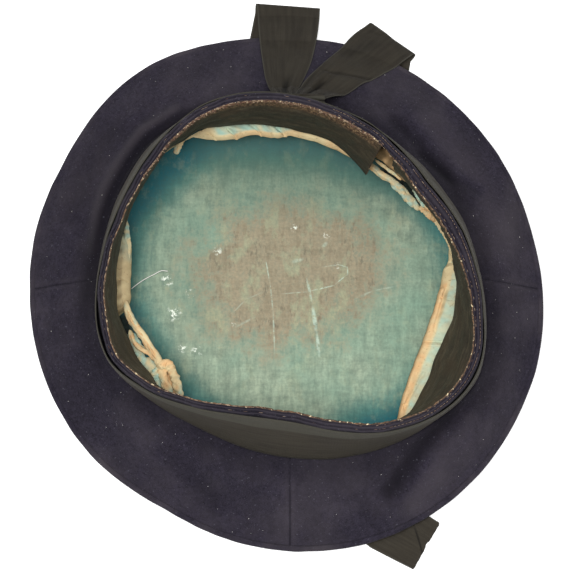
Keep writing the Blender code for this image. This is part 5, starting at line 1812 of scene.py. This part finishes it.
class StageBuild(bpy.types.Operator):
    """Lay the floor, hang the lights and place the camera"""
    bl_idname = "sailor_cap.stage"
    bl_label = "Stage"

    def execute(self, context):
        own = settings("cap_stage")
        scene = context.scene
        if own.show_floor:
            bpy.ops.mesh.primitive_plane_add(size=FLOOR_SIZE)
            floor = context.object
            floor.name = "floor"
            floor.data.transform(floor.matrix_world)
            floor.data.transform(Matrix.Translation((0.0, 0.0, FLOOR_Z)))
            made, _, shader = new_finish("pale floor", own.floor, Roughness=0.7, Specular_IOR_Level=0.2)
            shader.inputs["Base Color"].default_value = (*own.floor, 1.0)
            shader.inputs["Emission Color"].default_value = (1.0, 1.0, 1.0, 1.0)
            shader.inputs["Emission Strength"].default_value = own.floor_glow
            floor.data.materials.append(made)
        for name, place, size, power in LIGHTS:
            lamp = bpy.data.lights.new(name, "AREA")
            lamp.size = size
            lamp.energy = power
            lit = bpy.data.objects.new(name, lamp)
            lit.location = place
            lit.rotation_euler = (-Vector(place)).to_track_quat("-Z", "Y").to_euler()
            scene.collection.objects.link(lit)
        world = bpy.data.worlds.new("studio")
        world.use_nodes = True
        world.node_tree.nodes["Background"].inputs["Color"].default_value = (1.0, 1.0, 1.0, 1.0)
        world.node_tree.nodes["Background"].inputs["Strength"].default_value = WORLD_STRENGTH
        scene.world = world
        lens = bpy.data.cameras.new("camera")
        lens.sensor_width = SENSOR
        lens.lens = PIXELS_PER_METRE * own.distance * SENSOR / PHOTO_SIZE
        lens.shift_x = (PHOTO_SIZE / 2 - PHOTO_ORIGIN[0]) / PHOTO_SIZE
        lens.shift_y = (PHOTO_ORIGIN[1] - PHOTO_SIZE / 2) / PHOTO_SIZE
        lens.clip_end = 20.0
        camera = bpy.data.objects.new("camera", lens)
        away = Vector((0.0, -math.cos(own.elevation), math.sin(own.elevation)))
        camera.location = away * own.distance
        camera.rotation_euler = (-away).to_track_quat("-Z", "Y").to_euler()
        scene.collection.objects.link(camera)
        scene.camera = camera
        scene.view_settings.view_transform = "Standard"
        return {"FINISHED"}


OPERATORS = (
    CrownBuild, RimBuild, SideBuild, BandBuild, SweatbandBuild, LiningBuild, HemBuild, RollsBuild,
    WrapBuild, KnotBuild, TailsBuild, StitchBuild, LintBuild, StageBuild,
)


class CapPanel(bpy.types.Panel):
    """Lists the cap's settings and the pieces that can be built"""
    bl_idname = "SAILOR_CAP_PT_panel"
    bl_label = "Sailor Cap"
    bl_space_type = "VIEW_3D"
    bl_region_type = "UI"
    bl_category = "Sailor Cap"

    def draw(self, context):
        for name, group in SETTINGS.items():
            box = self.layout.box()
            box.label(text=name.replace("cap_", "").title())
            for key in group.__annotations__:
                box.prop(getattr(context.scene, name), key)
        for operator in OPERATORS:
            self.layout.operator(operator.bl_idname)


def register():
    for kind in (*SETTINGS.values(), *OPERATORS, CapPanel):
        bpy.utils.register_class(kind)
    for name, group in SETTINGS.items():
        setattr(bpy.types.Scene, name, PointerProperty(type=group))


def unregister():
    for name in SETTINGS:
        delattr(bpy.types.Scene, name)
    for kind in reversed((*SETTINGS.values(), *OPERATORS, CapPanel)):
        bpy.utils.unregister_class(kind)


def main():
    register()
    for operator in OPERATORS:
        group, name = operator.bl_idname.split(".")
        getattr(getattr(bpy.ops, group), name)()


if __name__ == "__main__":
    main()
